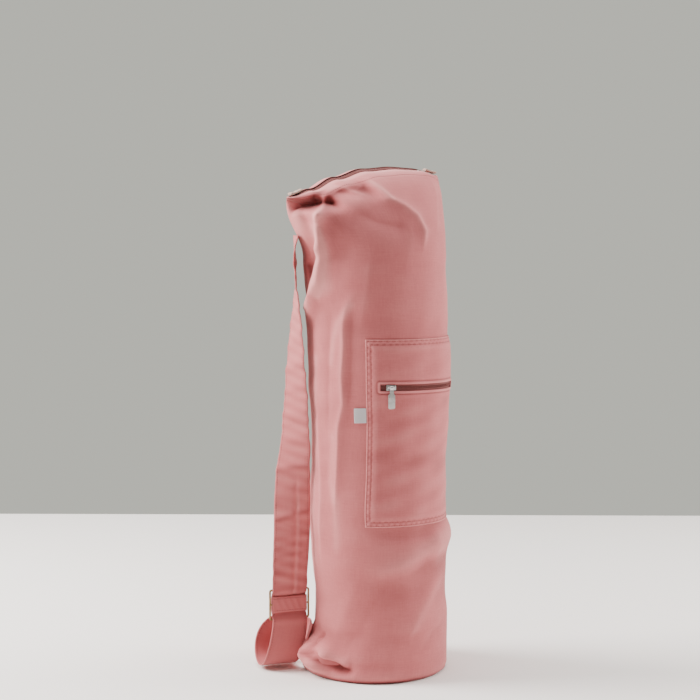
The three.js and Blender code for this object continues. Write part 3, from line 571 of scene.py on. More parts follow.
# The tube: its outer face from foot to rim, its inner face back down, each a grid of
# clothPoint. The mask is half + (mask - half) * fold factor + painted highlight and shade, with
# painted shade at the very foot
def makeBody():
    shares = heightShares(body["rows"])
    turns = np.arange(body["columns"]) * 360 / body["columns"]
    turn, up = np.meshgrid(turns, shares)
    outside = clothPoint(turn, up, hemLift(up))
    innerShares = heightShares(body["innerRows"])[::-1]
    innerTurn, innerUp = np.meshgrid(turns, innerShares)
    inside = clothPoint(innerTurn, innerUp, -body["wall"])
    points = np.concatenate([outside, inside])
    rows = len(shares) + len(innerShares)
    flat = np.stack([np.concatenate([turn, innerTurn]) * degree * bodyRadius,
                     points[..., 2]], axis=-1)
    ridges = sum(wearAndShadeMask(outside, True, reach, full) * part
                 for reach, full, part in body["wearAndShadeMaskSizes"])
    height = outside[..., 2]
    ridges = 0.5 + (ridges - 0.5) * body["foldWearAndShade"] + 1000 * foldPush(turn, height, body["paintedLight"])
    # Painted shade at the very foot, where the cloth turns under the base
    ridges = np.clip(ridges * soft((height - 0.002) / 0.004), 0, 1)
    # Painted highlight along the rim's lips; painted shade on the inner face, lighter towards the
    # mouth
    rim = soft((up - 0.9965) / 0.002)
    wearAndShade = np.concatenate([mix(ridges, 1.0, rim), mix(0.4, 1.0, soft((innerUp - 0.95) / 0.05))])
    quads = gridFaces(rows, len(turns), closeRows=True, closeColumns=True)
    makePiece("bodyCloth", points, quads, canvas, stands=["body_shell"],
              flat=flat, wearAndShade=wearAndShade)


makeBody()
print("body made")


# A sheet with two faces over one grid. outer and inner are its points, held marks the
# cells that are cloth, and quads close the edge wherever a held cell meets an open one
def sheetFaces(rows, columns, held):
    grid = gridFaces(rows, columns)[held.ravel()]
    layer = rows * columns
    quads = [grid, grid[:, ::-1] + layer]
    index = np.arange(layer).reshape(rows, columns)
    cell = np.pad(held, 1)
    inner = cell[1:-1, 1:-1]
    sides = [
        (cell[:-2, 1:-1], index[:-1, :-1], index[:-1, 1:]),
        (cell[1:-1, 2:], index[:-1, 1:], index[1:, 1:]),
        (cell[2:, 1:-1], index[1:, 1:], index[1:, :-1]),
        (cell[1:-1, :-2], index[1:, :-1], index[:-1, :-1]),
    ]
    for beside, start, end in sides:
        edge = inner & ~beside
        a = start[edge]
        b = end[edge]
        quads.append(np.stack([a, a + layer, b + layer, b], axis=-1))
    return np.concatenate(quads)


# A whole sheet: an outer and an inner face, each a grid of places, with one flat map
def makeSheet(name, outside, inside, flat, looks, node):
    rows, columns = outside.shape[:2]
    quads = sheetFaces(rows, columns, np.ones((rows - 1, columns - 1), dtype=bool))
    makePiece(name, np.concatenate([outside, inside]), quads, looks, stands=[node],
              flat=np.tile(flat, (2, 1, 1)))


# Keeps only the points that faces use, and renumbers the faces
def usedOnly(points, quads, *others):
    used, places = np.unique(quads, return_inverse=True)
    kept = [np.asarray(other).reshape(len(points), -1)[used] for other in others]
    return points[used], places.reshape(quads.shape), *kept


# Many equal capsules, one at each place: a point of the capsule is
# place + way * length/2 * cos(t) + (side * cos(s) + out * sin(s)) * radius * root(sin(t))
def capsules(places, ways, outs, length, width, rise):
    places = np.asarray(places).reshape(-1, 3)
    ways = unit(np.asarray(ways).reshape(-1, 3))
    outs = unit(np.asarray(outs).reshape(-1, 3))
    sides = unit(np.cross(outs, ways))
    around = np.arange(6) * tau / 6
    along = np.array([0.35, 1.2, 1.94, 2.79])
    reach = np.cos(along)[None, :, None, None]
    swell = np.sqrt(np.sin(along))[None, :, None, None]
    ring = (sides[:, None, None, :] * np.cos(around)[None, None, :, None] * width / 2
            + outs[:, None, None, :] * np.sin(around)[None, None, :, None] * rise)
    points = places[:, None, None, :] + ways[:, None, None, :] * reach * length / 2 + ring * swell
    each = len(along) * len(around)
    quads = gridFaces(len(along), len(around), closeColumns=True)[:, ::-1]
    ends = np.array([[0, 1, 2, 3], [3, 4, 5, 0], [21, 20, 19, 18], [18, 23, 22, 21]])
    quads = np.concatenate([quads, ends])
    allQuads = (quads[None, :, :] + (np.arange(len(places)) * each)[:, None, None]).reshape(-1, 4)
    return points.reshape(-1, 3), allQuads


stitch = {"pitch": 0.0034, "length": 0.0026, "width": 0.0007, "rise": 0.00028}


# Stitches along lines of places on the cloth, each with its outward ways: one capsule
# every pitch metres, turned along the line
def makeStitches(name, lines):
    allPlaces = []
    allWays = []
    allOuts = []
    for line, out in lines:
        run = runOf(line)
        count = max(2, int(run[-1] / stitch["pitch"]))
        at = (np.arange(count) + 0.5) * run[-1] / count
        allPlaces.append(sampleAt(at, run, line))
        allWays.append(sampleAt(at + 0.001, run, line) - sampleAt(at - 0.001, run, line))
        allOuts.append(sampleAt(at, run, out))
    points, quads = capsules(np.concatenate(allPlaces), np.concatenate(allWays),
                             np.concatenate(allOuts), stitch["length"], stitch["width"],
                             stitch["rise"])
    makePiece(name, points, quads, threadLooks, flat=points[:, [0, 2]])


# A line over the tube's cloth with its outward ways: the place at the lift, and
# the way from there to a place 1 mm further out
def clothLine(turn, up, lift):
    line = clothPoint(turn, up, lift)
    return line, clothPoint(turn, up, lift + 0.001) - line


# The patch pocket
pocket = {
    "width": 0.173,
    "height": 0.242,
    "bottom": 0.203,
    "cloth": 0.0012,
    "ease": 0.0019,
    "gap": 0.0006,
    "slotLength": 0.137,
    "slotHeight": 0.0084,
    "slotBelowTop": 0.061,
    "slotDroop": 0.0025,
    "slotRoll": 0.0006,
    "slotStitch": 0.0042,
    "slotPull": 0.0004,
    "stitchIn": (0.0022, 0.0068),
    "stitchPull": 0.00035,
    "pucker": 0.00022,
    "rounding": 0.0012,
    "easeReach": 0.014,
}
turnPerMetre = 1 / (bodyRadius * degree)
pocketMiddle = 45 + 270 - body["zipHeading"]
slotUp = pocket["bottom"] + pocket["height"] - pocket["slotBelowTop"]
slotLeft = pocketMiddle - pocket["slotLength"] / 2 * turnPerMetre
slotRight = pocketMiddle + pocket["slotLength"] / 2 * turnPerMetre


# Height of the slot's middle line: it hangs lower towards its right end
def slotLine(turn):
    return slotUp - pocket["slotDroop"] * (turn - slotLeft) / (slotRight - slotLeft)


# Distance of a place on the pocket from its nearest edge
def pocketEdge(across, height):
    return np.minimum(pocket["width"] / 2 - np.abs(across),
                      np.minimum(height - pocket["bottom"],
                                 pocket["bottom"] + pocket["height"] - height))


# How far the pocket's outer face stands off the tube: its ease rises over 14 mm from the
# edge, stitch rows pull it in, and small puckers run along them
def pocketRise(across, height):
    edge = pocketEdge(across, height)
    rise = pocket["gap"] + pocket["cloth"] + pocket["ease"] * soft(edge / pocket["easeReach"])
    for row in pocket["stitchIn"]:
        rise = rise - pocket["stitchPull"] * np.exp(-((edge - row) / 0.0011)**2)
    wave = np.sin(across * 820) * np.sin(height * 760 + 1.3)
    rise = rise + pocket["pucker"] * wave * np.exp(-((edge - 0.0045) / 0.005)**2)
    turn = pocketMiddle + across * turnPerMetre
    fromSlot = np.abs(height - slotLine(turn)) - pocket["slotHeight"] / 2
    beyond = np.maximum(np.abs(across) - pocket["slotLength"] / 2, 0)
    near = np.hypot(np.maximum(fromSlot, 0), beyond)
    rise = rise + pocket["slotRoll"] * np.exp(-((near - 0.0012) / 0.0016)**2)
    return rise - pocket["slotPull"] * np.exp(-((near - pocket["slotStitch"]) / 0.0009)**2)


# A place on the pocket's outer face, or extra metres off it: the tube's cloth at the
# pocket's middle turn + across / radius, lifted by the rise
def pocketPoint(across, height, extra=0.0):
    turn = pocketMiddle + across * turnPerMetre
    return clothPoint(turn, height / body["height"], pocketRise(across, height) + extra)


# A line over the pocket's face with its outward ways
def pocketLine(across, height):
    line = pocketPoint(across, height)
    return line, pocketPoint(across, height, 0.001) - line


# Steps over stretches, each with its own number of cells
def stretches(stops):
    steps = [stops[0][0]]
    for (start, cells), (end, _) in zip(stops[:-1], stops[1:]):
        steps.extend(np.linspace(start, end, cells + 1)[1:].tolist())
    return np.array(steps)


# The pocket: two faces of pocketPoint over one grid, with the slot's cells left out, its
# edges rounded, and rows of stitches at both insets and along the slot
def makePocket():
    wide = pocket["width"] / 2
    slotWide = pocket["slotLength"] / 2
    low = pocket["bottom"]
    high = low + pocket["height"]
    slotLow = slotUp - pocket["slotHeight"] / 2
    slotHigh = slotUp + pocket["slotHeight"] / 2
    rim = pocket["rounding"]
    eased = pocket["easeReach"]
    columns = stretches([(-wide, 3), (-wide + rim, 14), (-slotWide, 84), (slotWide, 14),
                         (wide - rim, 3), (wide, 0)])
    rows = stretches([(low, 3), (low + rim, 12), (low + eased, 62), (slotLow - 0.008, 8),
                      (slotLow, 5), (slotHigh, 8), (slotHigh + 0.008, 20), (high - eased, 12),
                      (high - rim, 3), (high, 0)])
    across, flatUp = np.meshgrid(columns, rows)
    nearSlot = 1 - soft(np.abs(flatUp - slotUp) / 0.06)
    turn = pocketMiddle + across * turnPerMetre
    height = flatUp + (slotLine(turn) - slotUp) * nearSlot
    edge = pocketEdge(across, flatUp)
    rounded = 0.0005 * (1 - soft(edge / rim))
    outside = pocketPoint(across, height, -rounded)
    inside = pocketPoint(across, height, -pocket["cloth"] + rounded)
    middleX = (columns[:-1] + columns[1:]) / 2
    middleZ = (rows[:-1] + rows[1:]) / 2
    held = ~((np.abs(middleX)[None, :] < slotWide) & (middleZ[:, None] > slotLow)
             & (middleZ[:, None] < slotHigh))
    points = np.concatenate([outside, inside]).reshape(-1, 3)
    quads = sheetFaces(len(rows), len(columns), held)
    flat = np.tile(np.stack([across + 0.7, height], axis=-1), (2, 1, 1))
    # Mask: paler ridges and edges, partly wear and partly painted highlight, and painted shade in the
    # creases; the inner face plain
    wearAndShade = wearAndShadeMask(outside, False, 4, 0.0007) + 0.3 * np.exp(-(edge / 0.0016)**2)
    wearAndShade = np.concatenate([np.clip(wearAndShade, 0, 1), np.full(across.shape, 0.5)])
    points, quads, flat, wearAndShade = usedOnly(points, quads, flat, wearAndShade)
    makePiece("pocketCloth", points, quads, canvas, stands=["pocket_panel"],
              flat=flat, wearAndShade=wearAndShade)

    lines = []
    for inset in pocket["stitchIn"]:
        steps = np.linspace(0, 1, 90)
        upSteps = mix(low + inset, high - inset, steps)
        sideSteps = mix(-wide + inset, wide - inset, steps)
        for side in (-wide + inset, wide - inset):
            lines.append(pocketLine(np.full(90, side), upSteps))
        for height in (low + inset, high - inset):
            lines.append(pocketLine(sideSteps, np.full(90, height)))
    for side in (-1, 1):
        across = np.linspace(-slotWide - 0.003, slotWide + 0.003, 60)
        turn = pocketMiddle + across * turnPerMetre
        height = slotLine(turn) + side * (pocket["slotHeight"] / 2 + pocket["slotStitch"])
        lines.append(pocketLine(across, height))
    makeStitches("pocketStitches", lines)


makePocket()
print("pocket made")


# The zip in the pocket's slot
pocketZip = {
    "tapeHigh": 0.002,
    "tapeCloth": 0.0008,
    "tapeOver": 0.0045,
    "teethPitch": 0.0016,
    # length, width and rise of a tooth, and how far it stands off the tape
    "tooth": (0.0034, 0.0009, 0.0005),
    "toothLift": 0.00035,
    "sliderFromEnd": 0.013,
}


# A strip that follows the slot: its face lies at lift over the tube, and it dips
# a little from its middle to its edges
def slotStrip(name, low, high, halfHeight, looks, node):
    past = 0.003 * turnPerMetre
    turns = np.linspace(slotLeft - past, slotRight + past, 90)
    shares = np.linspace(-1, 1, 13)
    turn, share = np.meshgrid(turns, shares)
    height = slotLine(turn) + share * halfHeight
    wave = 0.00012 * np.sin(turn * 2.1) * np.sin(share * 5)
    outside = clothPoint(turn, height / body["height"], high + wave)
    inside = clothPoint(turn, height / body["height"], low + wave)
    flat = np.stack([turn * degree * bodyRadius, height], axis=-1)
    makeSheet(name, outside, inside, flat, looks, node)


# The pocket's zip: its tape, and a row of teeth one pitch apart except under the slider
def makePocketZip():
    high = pocketZip["tapeHigh"]
    slotStrip("pocketZipTape", high - pocketZip["tapeCloth"], high,
              pocket["slotHeight"] / 2 + pocketZip["tapeOver"], tapeCloth, "pocket_zip_tape")
    sliderTurn = slotLeft + pocketZip["sliderFromEnd"] * turnPerMetre
    count = int(pocket["slotLength"] / pocketZip["teethPitch"]) - 1
    turns = slotLeft + (np.arange(count) + 1) * pocketZip["teethPitch"] * turnPerMetre
    turns = turns[np.abs(turns - sliderTurn) > 0.0062 * turnPerMetre]
    height = slotLine(turns)
    places = clothPoint(turns, height / body["height"], high + pocketZip["toothLift"])
    above = clothPoint(turns, (height + 0.001) / body["height"], high + pocketZip["toothLift"])
    outs = clothPoint(turns, height / body["height"], high + 0.001) - places
    points, quads = capsules(places, above - places, outs, *pocketZip["tooth"])
    makePiece("pocketZipTeeth", points, quads, tapeCloth, stands=["pocket_zip_teeth"],
              flat=points[:, [0, 2]])


makePocketZip()


# Cosines and sines raised to 2/power with their signs kept: a ring of
# |x|^power + |y|^power = 1, an oblong with round corners where the power is above 2
def superOval(around, power):
    angle = np.arange(around) * tau / around
    return [np.sign(wave) * np.abs(wave)**(2 / power) for wave in (np.cos(angle), np.sin(angle))]


# A bar of metal: superoval rings with half sizes that may change, carried along x
def barRings(alongX, halfY, halfZ, around, power, middleY=0.0):
    cosine, sine = superOval(around, power)
    alongX, halfY, halfZ = np.broadcast_arrays(alongX, halfY, halfZ)
    y = middleY + halfY[:, None] * cosine
    z = halfZ[:, None] * sine
    x = np.repeat(alongX[:, None], around, axis=1)
    return np.stack([x, y, z], axis=-1)


# Faces of rings with closed ends: quads between rings and one many-sided cap at each end
def ringFaces(rings, around):
    last = (rings - 1) * around
    caps = [list(range(around - 1, -1, -1)), list(range(last, last + around))]
    return gridFaces(rings, around, closeColumns=True), caps


# Ends of a bar drawn in over a rounding: shares of the full section at each ring
def roundedEnds(length, rounding, rings):
    edge = np.sin(np.linspace(0, 1, 5) * np.pi / 2)
    runs = 1 - np.cos(np.linspace(0, 1, 5) * np.pi / 2)
    head = -length / 2 + rounding * runs
    middle = np.linspace(-length / 2 + rounding, length / 2 - rounding, rings)[1:-1]
    along = np.concatenate([head, middle, -head[::-1]])
    inset = np.concatenate([1 - edge, np.zeros(len(middle)), (1 - edge)[::-1]]) * rounding
    return along, inset


# A tube carried along a path: p(t) + side * a * cos(s) + up * b * sin(s), with superoval rings
def sweep(path, sides, ups, halfSide, halfUp, around, power=2.6):
    cosine, sine = superOval(around, power)
    halfSide = np.broadcast_to(halfSide, len(path))
    halfUp = np.broadcast_to(halfUp, len(path))
    return (path[:, None, :] + sides[:, None, :] * (halfSide[:, None] * cosine)[..., None]
            + ups[:, None, :] * (halfUp[:, None] * sine)[..., None])


# Joins lists of parts, each with points, quads and caps, into one
def joinParts(parts):
    points = []
    quads = []
    caps = []
    first = 0
    for spots, faces, ends in parts:
        spots = np.asarray(spots).reshape(-1, 3)
        points.append(spots)
        quads.append(faces + first)
        caps.extend([[index + first for index in cap] for cap in ends])
        first += len(spots)
    return np.concatenate(points), np.concatenate(quads), caps


# The pocket zip's slider with its bridge, and the puller that hangs on it
puller = {
    "plateLength": 0.0125,
    "plateHeight": 0.0076,
    "plateThick": 0.0018,
    "bridgeRise": 0.0028,
    "bridgeBar": 0.0014,
    "length": 0.027,
    "width": 0.0088,
    "neck": 0.0052,
    "thickness": 0.0012,
    "seatLift": 0.0024,
    "ridges": 13,
    "ridgeRise": 0.00028,
    "shoulder": 0.36,
}


# Sets points drawn with x along the zip, y outwards and z up at the slider's seat:
# seat + x * way + y * outwards + z * up, with the way taken 4 degrees to both sides
def atSlider(points):
    turn = slotLeft + pocketZip["sliderFromEnd"] * turnPerMetre
    lift = puller["seatLift"]
    seat = clothPoint(turn, slotLine(turn) / body["height"], lift)
    ahead = clothPoint(turn + 4, slotLine(turn + 4) / body["height"], lift)
    behind = clothPoint(turn - 4, slotLine(turn - 4) / body["height"], lift)
    way = ahead - behind
    way[2] = 0
    way = unit(way)
    outwards = np.array([way[1], -way[0], 0])
    spots = np.asarray(points).reshape(-1, 3)
    return seat + spots[:, :1] * way + spots[:, 1:2] * outwards + spots[:, 2:] * upWay


# The slider: a plate that tapers to one end, and a bridge bent as a superoval arch. The
# puller: rings down a tab whose half width and thickness follow soft steps, and a round eye
def makeSlider():
    top = puller["plateThick"] + 0.0001
    axis = top + puller["bridgeRise"]
    along, inset = roundedEnds(puller["plateLength"], 0.0007, 12)
    taper = 1 - 0.16 * soft((along / puller["plateLength"] + 0.1) * 2)
    plate = barRings(along, puller["plateThick"] / 2 - inset * 0.8,
                     (puller["plateHeight"] / 2) * taper - inset, 24, 5.0,
                     middleY=puller["plateThick"] / 2 + 0.0001)
    half = puller["plateLength"] / 2 - 0.0017
    bend = np.linspace(0, 1, 25)
    angle = mix(np.pi, 0, bend)
    archX = half * np.sign(np.cos(angle)) * np.abs(np.cos(angle))**0.45
    archY = top - 0.0006 + (axis - top + 0.0006) * np.abs(np.sin(angle))**0.45
    arch = np.stack([archX, archY, np.zeros(25)], axis=-1)
    way = unit(np.gradient(arch, axis=0))
    sides = np.tile(upWay, (25, 1))
    ups = np.cross(sides, way)
    bar = sweep(arch, sides, ups, puller["bridgeBar"] / 2 * 1.1, puller["bridgeBar"] / 2 * 0.9, 12)
    points, quads, caps = joinParts([(plate, *ringFaces(len(along), 24)), (bar, *ringFaces(25, 12))])
    makePiece("pocketSlider", atSlider(points), quads, nickel, stands=["pocket_zip_slider"],
              caps=caps)

    # The puller: a neck that widens at its shoulder to a plate with cross ridges
    eyeInner = puller["bridgeBar"] * 0.7071 + 0.00035
    eyeOuter = eyeInner + puller["thickness"]
    down = np.linspace(eyeInner + 0.0005, puller["length"], 96)
    shoulder = puller["length"] * puller["shoulder"]
    half = mix(puller["neck"] / 2, puller["width"] / 2, soft((down - shoulder + 0.0025) / 0.0025))
    corner = np.clip((down - puller["length"] + 0.0025) / 0.0025, 0, 1)
    half = half - 0.0022 * (1 - np.sqrt(1 - np.clip(corner, 0, 0.985)**2))
    onPlate = soft((down - shoulder - 0.0015) / 0.001)
    onPlate = onPlate * (1 - soft((down - puller["length"] + 0.0026) / 0.001))
    ridge = np.abs(np.sin(down * np.pi * puller["ridges"] / (puller["length"] - shoulder)))
    thick = puller["thickness"] / 2 - 0.00012 + puller["ridgeRise"] * onPlate * (ridge - 0.4)
    thick = thick * np.sqrt(1 - np.clip((down - puller["length"] + 0.0004) / 0.0004, 0, 0.95)**2)
    rings = barRings(down, thick, half, 28, 5.0)
    tab = np.stack([rings[..., 2], rings[..., 1], -rings[..., 0]], axis=-1)
    turnSteps = np.arange(28) * tau / 28
    middle = (eyeInner + eyeOuter) / 2
    eyePath = np.stack([np.zeros(28), middle * np.cos(turnSteps), middle * np.sin(turnSteps)], axis=-1)
    eyeUp = unit(eyePath)
    eyeSide = np.tile(np.array([1.0, 0.0, 0.0]), (28, 1))
    eye = sweep(eyePath, eyeSide, eyeUp, puller["neck"] / 2, puller["thickness"] / 2, 14, 4.0)
    eyeQuads = gridFaces(28, 14, closeRows=True, closeColumns=True)
    points, quads, caps = joinParts([(tab, *ringFaces(len(down), 28)), (eye, eyeQuads, [])])
    points = points + np.array([0, axis, 0])
    makePiece("pocketPuller", atSlider(points), quads, nickel, parent="puller",
              stands=["pocket_zip_puller"], caps=caps)


makeSlider()
print("pocket zip made")


# The bare tab of white tape at the pocket's left edge
label = {
    "width": 0.0155,
    "height": 0.019,
    "thick": 0.0008,
    "up": 0.338,
    "gap": 0.0006,
    "bow": 0.0016,
    "skew": 0.0006,
}


# The tab bows away from the cloth by a soft step of its distance from the pocket
def makeLabel():
    edge = pocketMiddle - (pocket["width"] / 2 + 0.0004) * turnPerMetre
    across, rise = np.meshgrid(np.linspace(-1, 0, 26), np.linspace(0, 1, 22))
    lifted = label["bow"] * soft(-across) * (0.6 + 0.4 * np.cos((rise - 0.3) * 3))
    skew = label["skew"] * across
    turn = edge + across * label["width"] * turnPerMetre
    up = (label["up"] + rise * label["height"] + skew) / body["height"]
    outside = clothPoint(turn, up, label["gap"] + label["thick"] + lifted)
    inside = clothPoint(turn, up, label["gap"] + lifted)
    flat = np.stack([across * label["width"], rise * label["height"]], axis=-1)
    makeSheet("labelTab", outside, inside, flat, whiteCloth, "label_tab")


makeLabel()


# The zip in the closed top, between the two lips
topZip = {
    "tapeTop": 0.0012,
    "tapeCloth": 0.001,
    "teethPitch": 0.0021,
    "teethSpan": (0.13, 0.94),
    # length, width and rise of a tooth
    "tooth": (0.0036, 0.0011, 0.0006),
    "sliderShare": 0.1,
    "sliderLength": 0.011,
    "sliderWidth": 0.006,
    "sliderHeight": 0.0028,
    "endLength": 0.017,
    "endWidth": 0.0104,
    "endThick": 0.0036,
}


# A place between the lips: the middle of the mouth at this share of the zip,
# moved by side * half width across it and dropped below the rim
def mouthPoint(share, side, drop, halfWidth):
    turn = np.arccos(np.clip(1 - 2 * share, -1, 1)) / degree
    front = clothPoint(360 - turn, np.ones_like(turn), -body["wall"])
    back = clothPoint(turn, np.ones_like(turn), -body["wall"])
    middle = (front + back) / 2
    room = np.linalg.norm(back - front, axis=-1, keepdims=True) / 2 - 0.0004
    half = np.minimum(np.maximum(room, 0.0002), halfWidth)
    spots = middle + unit(back - front) * half * np.asarray(side)[..., None]
    spots[..., 2] -= drop
    return spots


# The top zip: a tape that sags by 1 - side^2 between the lips, teeth across its middle
# and a plain slider swept along it
def makeTopZip():
    share, side = np.meshgrid(np.linspace(0.02, 0.98, 120), np.linspace(-1, 1, 11))
    sag = 0.0006 * (1 - side**2)
    top = mouthPoint(share, side, topZip["tapeTop"] + sag, body["zipMouth"])
    low = mouthPoint(share, side, topZip["tapeTop"] + topZip["tapeCloth"] + sag, body["zipMouth"])
    flat = np.stack([share * body["zipChord"], side * 0.005], axis=-1)
    makeSheet("topZipTape", low, top, flat, tapeCloth, "top_zip_tape")

    count = int(0.8 * body["zipChord"] / topZip["teethPitch"])
    shares = np.linspace(*topZip["teethSpan"], count)
    middle = mouthPoint(shares, np.zeros(count), topZip["tapeTop"] + 0.0002, 0.002)
    beside = mouthPoint(shares, np.ones(count), topZip["tapeTop"] + 0.0002, 0.002)
    points, quads = capsules(middle, beside - middle, np.tile(upWay, (count, 1)),
                             *topZip["tooth"])
    makePiece("topZipTeeth", points, quads, tapeCloth, stands=["top_zip_teeth"],
              flat=points[:, [0, 2]])

    along, inset = roundedEnds(topZip["sliderLength"], 0.001, 10)
    spine = mouthPoint(topZip["sliderShare"] + along / body["zipChord"], np.zeros(len(along)),
                       topZip["tapeTop"] + 0.0004, 0.002)
    sides = np.tile(zipAcross, (len(along), 1))
    ups = np.tile(upWay, (len(along), 1))
    slider = sweep(spine, sides, ups, topZip["sliderWidth"] / 2 - inset,
                   topZip["sliderHeight"] / 2 - inset * 0.8, 20, 4.0)
    quads, caps = ringFaces(len(along), 20)
    makePiece("topZipSlider", slider, quads, nickel, stands=["top_zip_slider"],
              caps=caps)


# A folded cream end of the zip's tape: a soft pad along the rim with a dip where it
# is stitched, so it reads as two bumps
def makeTapeEnd(name, share, inward, node):
    along, inset = roundedEnds(topZip["endLength"], 0.0016, 26)
    place = (along / topZip["endLength"] + 0.5) * topZip["endLength"] / body["zipChord"]
    shares = np.clip(share + inward * place, 0.001, 0.999)
    spine = mouthPoint(shares, np.zeros(len(along)), -0.0019 - topZip["endThick"] / 2, 0.0)
    dip = 1 - 0.3 * np.exp(-((along + 0.0005) / 0.0016)**2) + 0.12 * np.sin(along * 900)
    sides = np.tile(zipAcross, (len(along), 1)) * inward
    ups = np.tile(upWay, (len(along), 1))
    pad = sweep(spine, sides, ups, topZip["endWidth"] / 2 - inset,
                (topZip["endThick"] / 2 - inset * 0.6) * dip, 24, 3.0)
    quads, caps = ringFaces(len(along), 24)
    flat = np.stack([np.repeat(along[:, None], 24, axis=1),
                     np.tile(np.arange(24) * 0.0008, (len(along), 1))], axis=-1)
    makePiece(name, pad, quads, creamCloth, stands=[node], flat=flat, caps=caps)


makeTopZip()
makeTapeEnd("tapeEndRight", 0.003, 1, "top_zip_end_right")
makeTapeEnd("tapeEndLeft", 0.997, -1, "top_zip_end_left")
print("top zip made")


# The strap, its brass buckle and the band round the buckle's middle bar
strap = {
    "width": 0.048,
    "thickness": 0.002,
    "buckleWidth": 0.056,
    "buckleHeight": 0.0415,
    "buckleBar": 0.0025,
    "buckleCorner": 0.0022,
    "buckleUp": 0.088,
    "buckleOut": 0.022,
    "buckleNear": 0.022,
    "buckleHeading": 21,
    "bandHeight": 0.022,
    "bandDepth": 0.0052,
    "bandCloth": 0.001,
    "barClearance": 0.0006,
    "topTurn": 157,
    "topUp": 0.885,
    "samples": 420,
    "stitchIn": 0.0035,
    "bandStitch": (0.045, 0.0156),
    "hangShare": 0.72,
    # the crease down the strap: place across it, reach, depth and the share it starts below
    "lengthCrease": (0.28, 0.1, 0.0012, 0.42),
    # share of the hanging stretch, sideways place, heading of the width, hollow
    "hang": [
        (0.96, -0.02, -88, 0), (0.92, -0.01, -92, 0), (0.87, 0.01, -90, 0), (0.82, 0.02, -81, 0),
        (0.76, 0.025, -71, 0.01), (0.7, 0.025, -64, 0.02), (0.64, 0.03, -58, 0.02),
        (0.58, 0.035, -52, 0.02), (0.52, 0.04, -46, 0.03), (0.46, 0.045, -41, 0.02),
        (0.4, 0.045, -34, 0.03), (0.34, 0.02, -20, 0.04), (0.28, 0.01, -10, 0.03),
        (0.22, 0.01, -2, 0.04), (0.16, 0.02, 5, 0.05), (0.1, 0.01, 12, 0.05), (0.05, 0, 18, 0.03),
    ],
    # towards the front, along the buckle, up (shares of the width), tilt of the width
    "loop": [
        (0.06, -0.05, 0.98, 0), (0.1, -0.12, 0.72, 0), (0.1, -0.2, 0.46, 0), (0, -0.27, 0.22, 0),
        (-0.2, -0.3, 0.09, 0), (-0.5, -0.3, 0.09, 0), (-0.8, -0.28, 0.22, 0),
        (-1, -0.25, 0.46, 4), (-1.05, -0.2, 0.7, 16), (-1.04, -0.08, 0.88, 38),
        (-0.98, 0.14, 0.93, 62), (-0.88, 0.36, 0.92, 82),
    ],
    # turn, height share and lift of the tail along the bag's side
    "tail": [(150, 0.062, 2.6), (155, 0.061, 2), (160, 0.06, 2), (164, 0.06, 2.3)],
    # puckers of the hanging stretch: share along it, slant, half length in metres, depth in mm
    "puckers": [
        (0.30, 0.3, 0.006, 1.5), (0.345, -0.2, 0.006, -1.5), (0.20, 0.25, 0.005, 1.1),
        (0.235, 0.2, 0.005, -1.0), (0.14, -0.3, 0.006, 1.0), (0.42, 0.2, 0.006, 1.2),
        (0.47, 0.1, 0.006, -1.1), (0.54, -0.25, 0.007, 1.1), (0.6, 0.2, 0.006, -0.9),
        (0.105, 0.1, 0.004, -0.8), (0.67, 0.2, 0.008, 0.9), (0.27, -0.4, 0.004, 0.7),
    ],
}


buckleMiddle = np.array([-bodyRadius - strap["buckleOut"], -strap["buckleNear"],
                         strap["buckleUp"]])
buckleAcross = headingWay(strap["buckleHeading"])
buckleFront = headingWay(strap["buckleHeading"] - 90)


# A place in front of the buckle's middle and above it
def buckleSpot(front, height):
    return buckleMiddle + front * buckleFront + height * upWay


# The strap's stops from its sewn top end, over the buckle's bars, through the loop on
# the floor and along the bag's side: middle, width way, hollow and how far to smooth
def strapStops():
    heading = body["zipHeading"] + strap["topTurn"] + 90
    topSpot = clothPoint(strap["topTurn"], strap["topUp"], strap["thickness"] / 2 + 0.0004)
    over = strap["buckleBar"] / 2 + strap["barClearance"] + strap["thickness"] / 2
    behind = -(strap["bandDepth"] / 2 + 0.0004 + strap["thickness"] / 2)
    hangLow = buckleSpot(over, strap["buckleHeight"] / 2 + 0.006)
    stops = [(topSpot, headingWay(heading), 0.0, 0.012)]
    for share, out, turned, hollow in strap["hang"]:
        middle = mix(hangLow, topSpot, share) + np.array([out * bodyRadius, 0, 0])
        stops.append((middle, headingWay(turned), hollow * strap["width"], 0.014))
    bar = strap["buckleHeight"] / 2 - strap["buckleBar"] / 2
    dive = 0.0015
    for front, height in [(over, bar + 0.008), (over, bar - dive), (behind, bar - dive - 0.008),
                          (behind, -(bar - dive - 0.008)), (over, -(bar - dive)),
                          (over, -(bar + 0.006))]:
        stops.append((buckleSpot(front, height), buckleAcross, 0.0, 0.0022))
    for front, side, high, tilt in strap["loop"]:
        middle = buckleSpot(over + front * strap["width"], 0) + side * strap["width"] * buckleAcross
        middle = np.array([middle[0], middle[1], high * strap["width"]])
        across = buckleAcross * np.cos(tilt * degree) - upWay * np.sin(tilt * degree)
        stops.append((middle, across, 0.0, 0.009))
    for turn, up, lift in strap["tail"]:
        half = strap["width"] / 2 / body["height"]
        low = clothPoint(turn, up - half, lift * strap["thickness"])
        high = clothPoint(turn, up + half, lift * strap["thickness"])
        stops.append(((low + high) / 2, low - high, 0.0, 0.003))
    return stops


